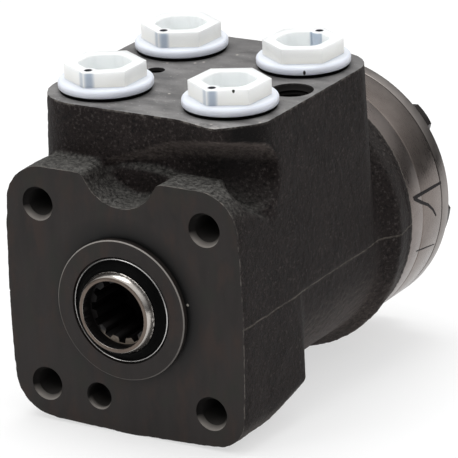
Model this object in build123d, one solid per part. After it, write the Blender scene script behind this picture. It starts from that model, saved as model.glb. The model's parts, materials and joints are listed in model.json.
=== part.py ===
from build123d import *
import os
from math import atan2, cos, degrees, pi, radians, sin, sqrt, tan

# Orbital steering unit, in millimetres. The origin is the centre of the mounting face, on the shaft
# axis. +Y runs along the shaft into the unit, +Z points to the port side and +X to its right.
# Each sub-part is built where it sits and is written to parts/NODE.step.

# ---------------------------------------------------------------- driving dimensions

# Running and assembly clearances
RUNNING_GAP = 0.05          # a turning part in its bore, on the radius
END_GAP = 0.1               # a turning part beside a fixed face
LOOSE_GAP = 0.3             # a loose part beside its neighbour
SEAT_GAP = 0.01             # an O-ring in its groove
CUT_THROUGH = 0.01          # how far a cut starts outside the face that it opens
OVERRUN = 1.0               # how far a cut runs on past the part
DRILL_POINT = 30.0          # degrees from a drilled hole's floor to its point

# Mounting face and flange
FACE_WIDTH = 83.0           # across the sides, at the parting line
FACE_TOP = 41.3             # shaft axis to the flange's top
FACE_BOTTOM = 41.0          # shaft axis to the flange's underside
FACE_TOP_R = 13.5
FACE_BOTTOM_R = 10.5
FACE_BOTTOM_LEFT_R = 14.0
FACE_BOTTOM_CROWN = 1.6     # the underside is lower in its middle than at its corners
FACE_CROWN_R = 100.0
SIDE_DRAFT = 1.7            # degrees, from the parting line at the shaft axis
FLANGE_DEPTH = 13.0
SCALLOP_R = 13.5            # the hollow between the two upper bolt lobes
SCALLOP_Z = 45.2
SCALLOP_LIP_R = 3.0
PILOT_R = 22.23
PILOT_HEIGHT = 2.2
PILOT_CHAMFER = 0.5

# Column bolts and the small hole beside them
COLUMN_PCD = 82.5
COLUMN_COUNT = 4
COLUMN_HOLE_R = 4.25        # M10, tapped
COLUMN_HOLE_DEPTH = 18.0
COLUMN_CHAMFER = 0.8        # across its width
COLUMN_CHAMFER_DEPTH = 0.3
PEG_HOLE_R = 4.0
PEG_HOLE_X = -10.5
PEG_HOLE_Z = -30.1
PEG_HOLE_DEPTH = 9.0
PEG_CHAMFER = 0.4

# Port block, whose plan is set at the port face
PORT_FACE_Z = 57.8
BLOCK_FRONT_Y = 12.5
BLOCK_REAR_Y = 91.8
BLOCK_RIGHT_X = 39.7
BLOCK_LEFT_X = -39.3
BLOCK_LEFT_R = 16.0
BLOCK_REAR_R = 14.0
BULGE_Y = 8.2               # the front right corner stands forward round its port
BULGE_X = 28.6
BULGE_START_X = 14.0
BULGE_SIDE_Y = 20.0
BULGE_R = 3.5
BULGE_FOOT_R = 14.0
BULGE_SIDE_R = 10.0
HOLLOW_R = 10.0             # the hollow under the front of the port block
HOLLOW_LEFT = (-9.0, 7.0, 33.5)
HOLLOW_MIDDLE = (13.0, 7.0, 42.0)
HOLLOW_RIGHT = (28.0, 7.0, 43.3)
SCOOP_START = (38.5, 16.3, 41.5)    # where it turns back through the right side
SCOOP_END = (56.0, 16.3, 41.5)
SHOULDER_DEPTH = 26.0       # full-width metal behind the flange, below its upper lobes
SHOULDER_Z = 32.0
SHOULDER_FALL = 9.0

# Lower block and barrel
LOWER_DEPTH = 45.5
LOWER_REAR_R = 13.5
LOWER_HEEL_R = 26.0         # where the underside turns up at the rear
FOOT_FRONT = 13.5           # the lower corners' reach past half the face's width
FOOT_REAR = 7.7
STACK_R = 42.6              # plate, ring and cover
NECK_STEP = 2.0             # the barrel is this much smaller than the stack
NECK_Y = 87.5               # where the barrel flares to the rim
NECK_FILLET = 2.6
RIM_LIP = 2.4               # the rim's front is this much larger than the stack
RIM_Y = 93.0
RIM_EDGE = 0.8
STACK_EDGE = 0.35
HOUSING_REAR_Y = 104.1

# Ports
PORT_X = 21.88
FRONT_PORT_Y = 30.07
REAR_PORT_Y = 74.95
PORT_R = 9.32               # G 1/2, tapped
PORT_DEPTH = 16.0
PORT_CHAMFER = 1.4
SENSING_X = 30.95
SENSING_Y = 51.26
SENSING_R = 5.72            # G 1/4, tapped
SENSING_DEPTH = 13.0
SENSING_CHAMFER = 1.05
GAUGE_X = -17.51            # small tapped hole
GAUGE_Y = 52.05
GAUGE_R = 2.5
GAUGE_DEPTH = 10.0
GAUGE_CHAMFER = 0.2
PASSAGE_R = 4.5
PASSAGE_END_X = 11.0
GROOVE_WIDTH = 7.0
GROOVE_DEPTH = 3.95
GROOVE_YS = (29.0, 57.0, 67.0, 78.0)    # annular grooves in the main bore

# Spool, sleeve and their pin
SPOOL_R = 13.0
SPOOL_NOSE_Y = -6.57
SPOOL_NOSE_CHAMFER = 0.8
SPOOL_NOSE_TAPER = 2.5
SPOOL_BORE_R = 10.1
SPOOL_BORE_Y = 33.0
SPOOL_SLOTS = 6
SPOOL_SLOT_DEPTH = 1.2
SPOOL_SLOT_WIDTH = 3.2
SLOT_LAP = 4.5              # a slot reaches this far past the grooves that it joins
SPOOL_TRAVEL = 8.0          # degrees each way against the centring springs
SPLINE_TEETH = 12
INPUT_SPLINE_ROOT_R = 10.35
INPUT_SPLINE_TIP_R = 8.8
INPUT_SPLINE_START_Y = -2.0
INPUT_SPLINE_END_Y = 15.0
INPUT_MOUTH_R = 10.7
SLEEVE_R = 19.0
SLEEVE_HOLE_R = 1.7
SLEEVE_GROOVE_DEPTH = 1.0
SLEEVE_GROOVE_WIDTH = 3.0
CROSS_PIN_R = 4.0
CROSS_PIN_Y = 45.0
CROSS_PIN_CHAMFER = 0.5
CROSS_PIN_SHORT = 0.4       # the pin's ends stay this far inside the sleeve

# Centring springs: two flat leaves between four bowed ones, stacked through spool and sleeve
SPRING_Y = 23.0
SPRING_WIDTH = 7.0
SPRING_THICKNESS = 0.5
SPRING_BOW = 0.9
SPRING_STACK_GAP = 0.05
SPRING_SHORT = 0.8          # the leaves end this far inside the sleeve

# Front bearing and seals
THRUST_RACE = 1.0
NEEDLE_R = 1.0
NEEDLE_COUNT = 20
NEEDLE_SHARE = 0.63         # of the races' width
CAGE_THICKNESS = 1.4
BEARING_CLEARANCE = 0.6     # races round the spool, on the radius
BEARING_FRONT_Y = 10.0
SEAL_POCKET_R = 16.58
SEAL_POCKET_DEPTH = 6.2
DUST_CASE_INNER_R = 15.9
DUST_CASE_Y = -2.1
DUST_LIP_Y = -3.9
DUST_LIP_THICKNESS = 1.5
SHAFT_SEAL_R = 16.2
SHAFT_SEAL_Y = 5.2
SHAFT_SEAL_LENGTH = 3.0
SHAFT_SEAL_RING_WALL = 1.2

# Gear set
LOBES = 7
LOBE_R = 7.0
LOBE_PITCH_R = 30.0
ECCENTRICITY = 2.8
GEAR_GAP = 0.1
ROOT_GAP = 0.6
ROOT_FILLET = 1.2
STAR_POINT_COUNT = 16       # on each lobe of the star's curve
PLATE_THICKNESS = 8.3
RING_THICKNESS = 12.8
COVER_THICKNESS = 5.0
STAR_SPLINE_ROOT_R = 10.9
STAR_SPLINE_TIP_R = 9.2
POCKET_PORT_R = 2.3
POCKET_PORT_PITCH_R = 26.3
POCKET_PORT_Y = 90.0        # where the pocket ports turn inward to the sleeve
PLATE_HOLE_R = 11.6

# Drive link and spacer
LINK_HEAD_R = 8.9
LINK_SHAFT_R = 6.4
LINK_SLOT_GAP = 0.45
LINK_FORK_LENGTH = 15.0
LINK_SPLINE_TIP_R = 10.4
LINK_SPLINE_ROOT_R = 8.7
LINK_SPLINE_LENGTH = 7.4
LINK_END_R = 1.2
LINK_HEAD_GAP = 1.2         # from the plate's rear face to the link's rear spline
SPACER_R = 8.2
SPACER_THICKNESS = 3.4

# Cover bolts
BOLT_INSET = 8.8            # from the stack's edge to the bolt circle
BOLT_R = 4.0                # M8
BOLT_HOLE_R = 4.15
BOLT_ENGAGEMENT = 14.0
BOLT_TIP_GAP = 1.0
BOLT_HEAD_AF = 13.0
BOLT_HEAD_HEIGHT = 5.0
BOLT_HEAD_BEVEL = 30.0      # degrees, at the corners of its top
BOLT_HEAD_TURNS = (20, 47, 5, 33, 52, 15, 9)    # degrees, as each was tightened
WASHER_R = 7.0
WASHER_THICKNESS = 1.0

# O-rings of the stack
O_RING_INSET = 3.1          # from the stack's edge to the ring's centre
O_RING_CORD = 1.78

# Check valve under the rear right port
CHECK_BALL_R = 4.5
CHECK_TRAVEL = 1.5
CHECK_POCKET_R = 6.6
CHECK_OUTLET_R = 3.2
CHECK_SEAT_R = 3.6
CHECK_SEAT_HEIGHT = 4.0
CHECK_POCKET_DEPTH = 12.0

# Port plugs and their sealing rings
PLUG_FLANGE_R = 14.7
PLUG_FLANGE = 2.6
PLUG_FLANGE_EDGE = 0.9
PLUG_HEX_AF = 21.8
PLUG_TOP = 8.5              # above the port face
PLUG_RECESS_AF = 15.4
PLUG_RECESS_CORNER_R = 4.0
PLUG_BOSS_R = 2.5           # stands into the recess round the pin hole
PLUG_FLOOR = 2.0
PLUG_SHANK_R = 9.1
PLUG_SHANK = 10.0
PLUG_WALL = 1.6
PLUG_PIN_HOLE_R = 1.1
PLUG_PIN_HOLE_PITCH_R = 9.6
RING_SECTION = 1.05
RING_OUTER_R = 14.1
RING_INNER_R = 10.9

# ---------------------------------------------------------------- derived places

PLATE_Y = HOUSING_REAR_Y
RING_Y = PLATE_Y + PLATE_THICKNESS
COVER_Y = RING_Y + RING_THICKNESS
REAR_Y = COVER_Y + COVER_THICKNESS
BORE_R = SLEEVE_R + RUNNING_GAP
GROOVE_R = BORE_R + GROOVE_DEPTH
BARREL_R = STACK_R - NECK_STEP
RIM_R = STACK_R + RIM_LIP
BOLT_PITCH_R = STACK_R - BOLT_INSET
O_RING_PITCH_R = STACK_R - O_RING_INSET
BEARING_INNER_R = SPOOL_R + BEARING_CLEARANCE
NEEDLE_PITCH_R = (SLEEVE_R + BEARING_INNER_R) / 2
NEEDLE_LENGTH = (SLEEVE_R - BEARING_INNER_R) * NEEDLE_SHARE
SPRING_LENGTH = 2 * (SLEEVE_R - SPRING_SHORT)
BEARING_REAR_Y = BEARING_FRONT_Y + 2 * THRUST_RACE + 2 * NEEDLE_R + 2 * END_GAP
SLEEVE_Y = BEARING_REAR_Y
SLEEVE_END_Y = HOUSING_REAR_Y - END_GAP
STAR_CENTRE_Z = ECCENTRICITY
LINK_HEAD_Y = RING_Y + LINK_HEAD_GAP
LINK_TILT = degrees(atan2(ECCENTRICITY, LINK_HEAD_Y + LINK_SPLINE_LENGTH / 2 - CROSS_PIN_Y))
SPACER_Y = COVER_Y - END_GAP - SPACER_THICKNESS
PORTS = (
    ("front_left", -PORT_X, FRONT_PORT_Y, GROOVE_YS[0], -90),
    ("front_right", PORT_X, FRONT_PORT_Y, GROOVE_YS[1], -93),
    ("rear_left", -PORT_X, REAR_PORT_Y, GROOVE_YS[2], -93),
    ("rear_right", PORT_X, REAR_PORT_Y, GROOVE_YS[3], 87),
)
BOLT_ANGLES = [90 + 360 / LOBES * i for i in range(LOBES)]
POCKET_ANGLES = [angle + 180 / LOBES for angle in BOLT_ANGLES]
CHECK_FLOOR_Z = PORT_FACE_Z - PORT_DEPTH - CHECK_POCKET_DEPTH
CHECK_REST_Z = CHECK_FLOOR_Z + sqrt(CHECK_BALL_R**2 - CHECK_OUTLET_R**2) + RUNNING_GAP
CHECK_SEAT_Z = CHECK_REST_Z + CHECK_TRAVEL + sqrt(CHECK_BALL_R**2 - CHECK_SEAT_R**2) + END_GAP


# ---------------------------------------------------------------- shared shapes

def at_y(y):
    """A sketch plane across the shaft axis: local x is +X and local y is +Z."""
    return Plane.XZ.offset(-y)


def bar(radius, start, end, x=0.0, z=0.0):
    """A round bar along the shaft direction."""
    return extrude(at_y(start) * Pos(x, z) * Circle(radius), amount=start - end)


def tube(outer, inner, start, end):
    """A plain ring about the shaft axis."""
    return extrude(at_y(start) * (Circle(outer) - Circle(inner)), amount=start - end)


def post(radius, bottom, top, x=0.0, y=0.0):
    """A round bar along Z."""
    return extrude(Plane.XY.offset(bottom) * Pos(x, y) * Circle(radius), amount=top - bottom)


def turned(*profile):
    """A solid turned about the shaft axis from (radius, y) corners."""
    return revolve(make_face(Polyline(*profile, close=True)), axis=Axis.Y)


def turned_z(x, y, *profile):
    """A solid turned about a vertical axis through x, y from (radius, z) corners."""
    corners = [(radius, 0, z) for radius, z in profile]
    return Pos(x, y, 0) * revolve(make_face(Polyline(*corners, close=True)), axis=Axis.Z)


def polar(radius, angle):
    """The x and z of a point round the shaft axis, from +X towards +Z."""
    return radius * cos(radians(angle)), radius * sin(radians(angle))


def bars_round(radius, pitch_radius, angles, start, end):
    """Equal bars along the shaft direction, round the shaft axis."""
    centres = [polar(pitch_radius, angle) for angle in angles]
    return [bar(radius, start, end, x, z) for x, z in centres]


def rounded(points, radii):
    """A closed outline whose corners each have their own radius."""
    face = make_face(Polyline(*points, close=True))
    for (x, y), radius in zip(points, radii):
        if radius:
            corner = face.vertices().sort_by_distance((x, y, 0))[0]
            face = fillet(corner, radius)
    return face


def toothed(teeth, root, tip, share=0.5):
    """A round bar's section with straight-sided teeth that stand out from root to tip."""
    half_root = radians(180 * share / teeth) * 1.25
    half_tip = radians(180 * share / teeth) * 0.75
    inner = root * 0.97
    tooth = Polygon(
        (inner * cos(half_root), -inner * sin(half_root)),
        (tip * cos(half_tip), -tip * sin(half_tip)),
        (tip * cos(half_tip), tip * sin(half_tip)),
        (inner * cos(half_root), inner * sin(half_root)),
        align=None,
    )
    section = Circle(root)
    for i in range(teeth):
        section += Rot(0, 0, 360 / teeth * i) * tooth
    return section


# ---------------------------------------------------------------- housing

def flange_outline():
    """The mounting face: drafted sides, four round corners and the hollow between the top lobes."""
    half = FACE_WIDTH / 2
    draft = tan(radians(SIDE_DRAFT))
    top = half - FACE_TOP * draft
    corner_z = FACE_BOTTOM_CROWN - FACE_BOTTOM
    bottom = half + corner_z * draft
    points = [(half, 0), (top, FACE_TOP), (-top, FACE_TOP), (-half, 0),
              (-bottom, corner_z), (0, -FACE_BOTTOM), (bottom, corner_z)]
    low_radii = [FACE_BOTTOM_LEFT_R, FACE_CROWN_R, FACE_BOTTOM_R]
    outline = rounded(points, [0, FACE_TOP_R, FACE_TOP_R, 0] + low_radii)
    outline -= Pos(0, SCALLOP_Z) * Circle(SCALLOP_R)
    lips = outline.vertices().group_by(Axis.Y)[-1].sort_by_distance((0, FACE_TOP, 0))[:2]
    return fillet(lips, SCALLOP_LIP_R)


def flange():
    """The square front of the casting, as deep as its upper bolt lobes."""
    return extrude(Plane.XZ * flange_outline(), amount=-FLANGE_DEPTH)


def lower_block():
    """The full-width foot below the shaft axis, whose lower corners shrink towards its round heel."""
    half = FACE_WIDTH / 2
    plan = Plane.XY.offset(-FACE_BOTTOM) * rounded(
        [(half, 0), (half, LOWER_DEPTH), (-half, LOWER_DEPTH), (-half, 0)],
        [0, LOWER_REAR_R, LOWER_REAR_R, 0],
    )
    side = Plane.YZ.offset(-FACE_WIDTH) * rounded(
        [(0, -FACE_BOTTOM), (LOWER_DEPTH, -FACE_BOTTOM), (LOWER_DEPTH, 0), (0, 0)],
        [0, LOWER_HEEL_R, 0, 0],
    )
    column = extrude(plan, amount=FACE_BOTTOM)
    run = extrude(Plane.XZ * flange_outline(), amount=-LOWER_DEPTH)
    taper = turned((0, 0), (half + FOOT_FRONT, 0), (half + FOOT_REAR, LOWER_DEPTH), (0, LOWER_DEPTH))
    return column & run & extrude(side, amount=2 * FACE_WIDTH) & taper


def block_plan():
    """The port face: square at the rear, with a corner that bulges round the front right port."""
    points = [
        (BLOCK_LEFT_X, BLOCK_FRONT_Y),
        (BULGE_START_X, BLOCK_FRONT_Y),
        (BULGE_X, BULGE_Y),
        (BLOCK_RIGHT_X, BULGE_SIDE_Y),
        (BLOCK_RIGHT_X, BLOCK_REAR_Y),
        (BLOCK_LEFT_X, BLOCK_REAR_Y),
    ]
    radii = [BLOCK_LEFT_R, BULGE_FOOT_R, BULGE_R, BULGE_SIDE_R, BLOCK_REAR_R, BLOCK_REAR_R]
    return rounded(points, radii)


def port_block():
    """The block that carries the ports, drafted from the port face down to the parting line."""
    face = Plane.XY.offset(PORT_FACE_Z) * block_plan()
    block = extrude(face, amount=-PORT_FACE_Z, taper=-SIDE_DRAFT)
    return block


def barrel():
    """The round body behind the lower block, which flares to a rim that tapers to the gear stack."""
    profile = [
        (0, FLANGE_DEPTH),
        (BARREL_R, FLANGE_DEPTH),
        (BARREL_R, NECK_Y),
        (RIM_R, RIM_Y),
        (STACK_R, HOUSING_REAR_Y),
        (0, HOUSING_REAR_Y),
    ]
    return revolve(rounded(profile, [0, 0, NECK_FILLET, RIM_EDGE, 0, 0]), axis=Axis.Y)


def shoulder():
    """Full-width metal that joins the flange to the port block's rounded front corners."""
    side = Polygon(
        (0, 0),
        (SHOULDER_DEPTH, 0),
        (SHOULDER_DEPTH, SHOULDER_Z - SHOULDER_FALL),
        (FLANGE_DEPTH, SHOULDER_Z),
        (0, SHOULDER_Z),
        align=None,
    )
    slab = extrude(Plane.YZ.offset(-FACE_WIDTH) * side, amount=2 * FACE_WIDTH)
    return slab & extrude(Plane.XZ * flange_outline(), amount=-SHOULDER_DEPTH)


def hollow():
    """The hollow between the upper lobes and the overhanging front of the port block."""
    course = [HOLLOW_LEFT, HOLLOW_MIDDLE, HOLLOW_RIGHT, SCOOP_START]
    runs = [trough(start, end) for start, end in zip(course, course[1:])]
    return runs[0] + runs[1:]


def trough(start, end):
    """A round-ended run of the hollow."""
    path = Vector(*end) - Vector(*start)
    run = extrude(Plane(start, z_dir=path) * Circle(HOLLOW_R), amount=path.length)
    return run + [Pos(*place) * Sphere(HOLLOW_R) for place in (start, end)]


def casting():
    """The sand casting before it is machined."""
    upper = port_block() - hollow()
    front = flange() + shoulder() + lower_block() + upper
    return front - trough(SCOOP_START, SCOOP_END) + barrel()


def column_angles():
    """The mounting bolts sit at the corners of a square."""
    return [45 + 360 / COLUMN_COUNT * i for i in range(COLUMN_COUNT)]


def tapped_hole(radius, chamfer_width, depth, chamfer_depth):
    """A blind hole that runs down from its mouth at z 0, with a countersunk mouth and a drill point."""
    profile = [
        (0, CUT_THROUGH),
        (radius + chamfer_width, CUT_THROUGH),
        (radius + chamfer_width, 0),
        (radius, -chamfer_depth),
        (radius, -depth),
        (0, -depth - radius * tan(radians(DRILL_POINT))),
    ]
    corners = [(r, 0, z) for r, z in profile]
    return revolve(make_face(Polyline(*corners, close=True)), axis=Axis.Z)


def front_holes():
    """Column bolt holes and the peg hole, drilled in from the mounting face."""
    facing = Rot(90, 0, 0)
    hole = tapped_hole(COLUMN_HOLE_R, COLUMN_CHAMFER, COLUMN_HOLE_DEPTH, COLUMN_CHAMFER_DEPTH)
    places = [polar(COLUMN_PCD / 2, angle) for angle in column_angles()]
    holes = [Pos(x, 0, z) * facing * hole for x, z in places]
    peg = tapped_hole(PEG_HOLE_R, PEG_CHAMFER, PEG_HOLE_DEPTH, PEG_CHAMFER)
    return holes + [Pos(PEG_HOLE_X, 0, PEG_HOLE_Z) * facing * peg]


def port_holes():
    """The four main ports, the sensing port and the small gauge hole in the port face."""
    port = tapped_hole(PORT_R, PORT_CHAMFER, PORT_DEPTH, PORT_CHAMFER)
    holes = [Pos(x, y, PORT_FACE_Z) * port for _, x, y, _, _ in PORTS]
    sensing = tapped_hole(SENSING_R, SENSING_CHAMFER, SENSING_DEPTH, SENSING_CHAMFER)
    gauge = tapped_hole(GAUGE_R, GAUGE_CHAMFER, GAUGE_DEPTH, GAUGE_CHAMFER)
    return holes + [
        Pos(SENSING_X, SENSING_Y, PORT_FACE_Z) * sensing,
        Pos(GAUGE_X, GAUGE_Y, PORT_FACE_Z) * gauge,
    ]


def passage(start, end):
    """A cored oil way between two points."""
    path = Vector(*end) - Vector(*start)
    return extrude(Plane(start, z_dir=path) * Circle(PASSAGE_R), amount=path.length)


def oil_ways():
    """Annular grooves in the main bore and the passages that join them to the ports."""
    cuts = []
    groove_z = sqrt(GROOVE_R**2 - PASSAGE_END_X**2) - PASSAGE_R
    for _, x, y, groove_y, _ in PORTS:
        cuts.append(bar(GROOVE_R, groove_y - GROOVE_WIDTH / 2, groove_y + GROOVE_WIDTH / 2))
        side = 1 if x > 0 else -1
        top = PORT_FACE_Z - PORT_DEPTH
        if (x, y) == check_place():
            top = CHECK_FLOOR_Z - CHECK_OUTLET_R
        cuts.append(passage((x, y, top), (side * PASSAGE_END_X, groove_y, groove_z)))
    return cuts


def check_place():
    """The check valve sits under the rear right port."""
    return PORTS[3][1], PORTS[3][2]


def check_pocket():
    """The stepped bore that holds the check valve's seat and ball."""
    x, y = check_place()
    pocket = post(CHECK_POCKET_R, CHECK_FLOOR_Z, PORT_FACE_Z - PORT_DEPTH, x, y)
    outlet = post(CHECK_OUTLET_R, CHECK_FLOOR_Z - 2 * CHECK_OUTLET_R, CHECK_FLOOR_Z, x, y)
    return [pocket, outlet]


def front_bore():
    """Seal pocket, shaft seal bore and bearing bore, as one turned cut from the front."""
    lip = PILOT_HEIGHT + OVERRUN
    pocket_end = DUST_CASE_Y + SEAL_POCKET_DEPTH
    profile = [
        (0, -lip),
        (SEAL_POCKET_R, -lip),
        (SEAL_POCKET_R, pocket_end),
        (SHAFT_SEAL_R, pocket_end),
        (SHAFT_SEAL_R, SHAFT_SEAL_Y + SHAFT_SEAL_LENGTH + END_GAP),
        (SPOOL_R + LOOSE_GAP, SHAFT_SEAL_Y + SHAFT_SEAL_LENGTH + END_GAP),
        (SPOOL_R + LOOSE_GAP, BEARING_FRONT_Y),
        (BORE_R, BEARING_FRONT_Y),
        (BORE_R, HOUSING_REAR_Y + OVERRUN),
        (0, HOUSING_REAR_Y + OVERRUN),
    ]
    return turned(*profile)


def pocket_ways():
    """Axial drillings to the gear pockets, each turned inward to the sleeve."""
    cuts = bars_round(POCKET_PORT_R, POCKET_PORT_PITCH_R, POCKET_ANGLES, POCKET_PORT_Y, HOUSING_REAR_Y)
    for angle in POCKET_ANGLES:
        x, z = polar(POCKET_PORT_PITCH_R, angle)
        cuts.append(extrude(Plane((0, POCKET_PORT_Y, 0), z_dir=(x, 0, z)) * Circle(POCKET_PORT_R),
                            amount=POCKET_PORT_PITCH_R))
    return cuts


def o_ring_groove(face_y, side):
    """A groove for a stack O-ring, cut into the face at face_y towards side along the shaft."""
    half = O_RING_CORD / 2 + SEAT_GAP
    depth = O_RING_CORD + SEAT_GAP
    start, end = sorted((face_y, face_y + side * depth))
    return tube(O_RING_PITCH_R + half, O_RING_PITCH_R - half, start, end)


def pilot():
    """The raised ring round the seal pocket that locates the column."""
    ring = bar(PILOT_R, -PILOT_HEIGHT, FLANGE_DEPTH)
    return chamfer(ring.edges().sort_by(Axis.Y)[0], PILOT_CHAMFER)


def make_housing():
    body = casting() + pilot()
    body -= front_bore()
    body -= front_holes()
    body -= port_holes()
    body -= oil_ways() + check_pocket()
    body -= pocket_ways()
    bolt_floor = HOUSING_REAR_Y - BOLT_ENGAGEMENT - BOLT_TIP_GAP
    body -= bars_round(BOLT_R, BOLT_PITCH_R, BOLT_ANGLES, bolt_floor, HOUSING_REAR_Y)
    return body - o_ring_groove(HOUSING_REAR_Y, -1)


# ---------------------------------------------------------------- gear stack

def make_distributor_plate():
    plate = tube(STACK_R, PLATE_HOLE_R, PLATE_Y, RING_Y)
    plate = chamfer(outer_edges(plate), STACK_EDGE)
    plate -= bars_round(BOLT_HOLE_R, BOLT_PITCH_R, BOLT_ANGLES, PLATE_Y, RING_Y)
    plate -= bars_round(POCKET_PORT_R, POCKET_PORT_PITCH_R, POCKET_ANGLES, PLATE_Y, RING_Y)
    return plate - o_ring_groove(RING_Y, -1)


def outer_edges(part):
    """The two largest circular edges of a turned part."""
    return part.edges().filter_by(GeomType.CIRCLE).sort_by(SortBy.RADIUS)[-2:]


def ring_cavity():
    """The gear ring's opening: a round root with seven half-round lobes standing in it."""
    root = LOBE_PITCH_R - LOBE_R + 2 * ECCENTRICITY + ROOT_GAP
    cavity = Circle(root)
    for angle in BOLT_ANGLES:
        cavity -= Pos(*polar(LOBE_PITCH_R, angle)) * Circle(LOBE_R)
    return fillet(cavity.vertices(), ROOT_FILLET)


def make_gear_ring():
    ring = chamfer(outer_edges(bar(STACK_R, RING_Y, COVER_Y)), STACK_EDGE)
    ring -= extrude(at_y(RING_Y) * ring_cavity(), amount=RING_Y - COVER_Y)
    return ring - bars_round(BOLT_HOLE_R, BOLT_PITCH_R, BOLT_ANGLES, RING_Y, COVER_Y)


def star_outline():
    """The star's section: the curve that rolls inside the seven lobes, set in by the lobe radius."""
    inset = LOBE_R + GEAR_GAP
    points = []
    steps = STAR_POINT_COUNT * (LOBES - 1)
    for i in range(steps):
        u = 2 * pi * i / steps
        x = LOBE_PITCH_R * cos(u) - ECCENTRICITY * cos(LOBES * u)
        y = LOBE_PITCH_R * sin(u) - ECCENTRICITY * sin(LOBES * u)
        normal_x = LOBE_PITCH_R * cos(u) - LOBES * ECCENTRICITY * cos(LOBES * u)
        normal_y = LOBE_PITCH_R * sin(u) - LOBES * ECCENTRICITY * sin(LOBES * u)
        scale = inset / sqrt(normal_x**2 + normal_y**2)
        points.append((x - normal_x * scale, y - normal_y * scale))
    return Rot(0, 0, 90) * make_face(Spline(*points, periodic=True))


def make_gear_star():
    start = RING_Y + END_GAP
    end = COVER_Y - END_GAP
    section = star_outline() - toothed(SPLINE_TEETH, STAR_SPLINE_TIP_R, STAR_SPLINE_ROOT_R)
    return extrude(at_y(start) * Pos(0, STAR_CENTRE_Z) * section, amount=start - end)


def make_end_cover():
    cover = chamfer(outer_edges(bar(STACK_R, COVER_Y, REAR_Y))[-2:], STACK_EDGE)
    cover -= bars_round(BOLT_HOLE_R, BOLT_PITCH_R, BOLT_ANGLES, COVER_Y, REAR_Y)
    return cover - o_ring_groove(COVER_Y, 1)


def o_ring(face_y, side):
    """A stack O-ring in its groove."""
    centre = face_y + side * (O_RING_CORD / 2 + SEAT_GAP / 2)
    section = Plane.XY * Pos(O_RING_PITCH_R, centre) * Circle(O_RING_CORD / 2)
    return revolve(section, axis=Axis.Y)


def make_cover_bolts():
    """Seven hexagon bolts that clamp cover, ring and plate to the housing."""
    seat = REAR_Y + WASHER_THICKNESS
    start = HOUSING_REAR_Y - BOLT_ENGAGEMENT
    bolts = []
    for angle, turn in zip(BOLT_ANGLES, BOLT_HEAD_TURNS):
        x, z = polar(BOLT_PITCH_R, angle)
        bolts.append(Pos(x, 0, z) * bolt_head(seat, turn) + bar(BOLT_R, start, seat, x, z))
    return bolts


def bolt_head(seat, turn):
    """A hexagon whose corners are turned off at the top."""
    corner_r = BOLT_HEAD_AF / sqrt(3)
    flat_r = BOLT_HEAD_AF / 2
    top = seat + BOLT_HEAD_HEIGHT
    bevel = (corner_r - flat_r) * tan(radians(BOLT_HEAD_BEVEL))
    blank = turned((0, seat), (corner_r, seat), (corner_r, top - bevel), (flat_r, top), (0, top))
    hexagon = RegularPolygon(flat_r, 6, major_radius=False, rotation=turn)
    return blank & extrude(at_y(seat) * hexagon, amount=-BOLT_HEAD_HEIGHT)


def make_bolt_washers():
    washer = tube(WASHER_R, BOLT_HOLE_R, REAR_Y, REAR_Y + WASHER_THICKNESS)
    return [Pos(x, 0, z) * washer for x, z in [polar(BOLT_PITCH_R, a) for a in BOLT_ANGLES]]


# ---------------------------------------------------------------- spool and sleeve

def make_sleeve():
    body = tube(SLEEVE_R, SPOOL_R + RUNNING_GAP, SLEEVE_Y, SLEEVE_END_Y)
    body -= pin_hole(CROSS_PIN_R, SLEEVE_R + OVERRUN)
    body -= spring_slot(SLEEVE_R + OVERRUN)
    for _, _, _, groove_y, _ in PORTS[:3]:
        body -= radial_holes(SPOOL_SLOTS, SLEEVE_HOLE_R, groove_y, SLEEVE_R + OVERRUN)
    outlet_y = POCKET_PORT_Y
    body -= radial_holes(LOBES - 1, SLEEVE_HOLE_R, outlet_y, SLEEVE_R + OVERRUN)
    waist = outlet_y - 2 * POCKET_PORT_R - SLEEVE_GROOVE_WIDTH
    floor = SLEEVE_R - SLEEVE_GROOVE_DEPTH
    return body - tube(SLEEVE_R + OVERRUN, floor, waist, waist + SLEEVE_GROOVE_WIDTH)


def pin_hole(radius, reach):
    """A cross hole on the pin's axis, right through a part of this outer reach."""
    return extrude(Plane.YZ.offset(-reach) * Pos(CROSS_PIN_Y, 0) * Circle(radius), amount=2 * reach)


def spring_stack():
    """The height of the whole spring pack."""
    return 6 * SPRING_THICKNESS + 2 * SPRING_BOW + 5 * SPRING_STACK_GAP


def spring_slot(reach):
    """The window for the springs, right through a part of this outer reach."""
    width = SPRING_WIDTH + 2 * END_GAP
    height = spring_stack() + 2 * END_GAP
    return Pos(0, SPRING_Y, 0) * Box(2 * reach, width, height)


def radial_holes(count, radius, y, reach):
    """Equal holes drilled in from outside, round the shaft axis."""
    cuts = []
    for i in range(count):
        x, z = polar(1, 360 / count * (i + 0.5))
        cuts.append(extrude(Plane((0, y, 0), z_dir=(x, 0, z)) * Circle(radius), amount=reach))
    return cuts


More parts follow.
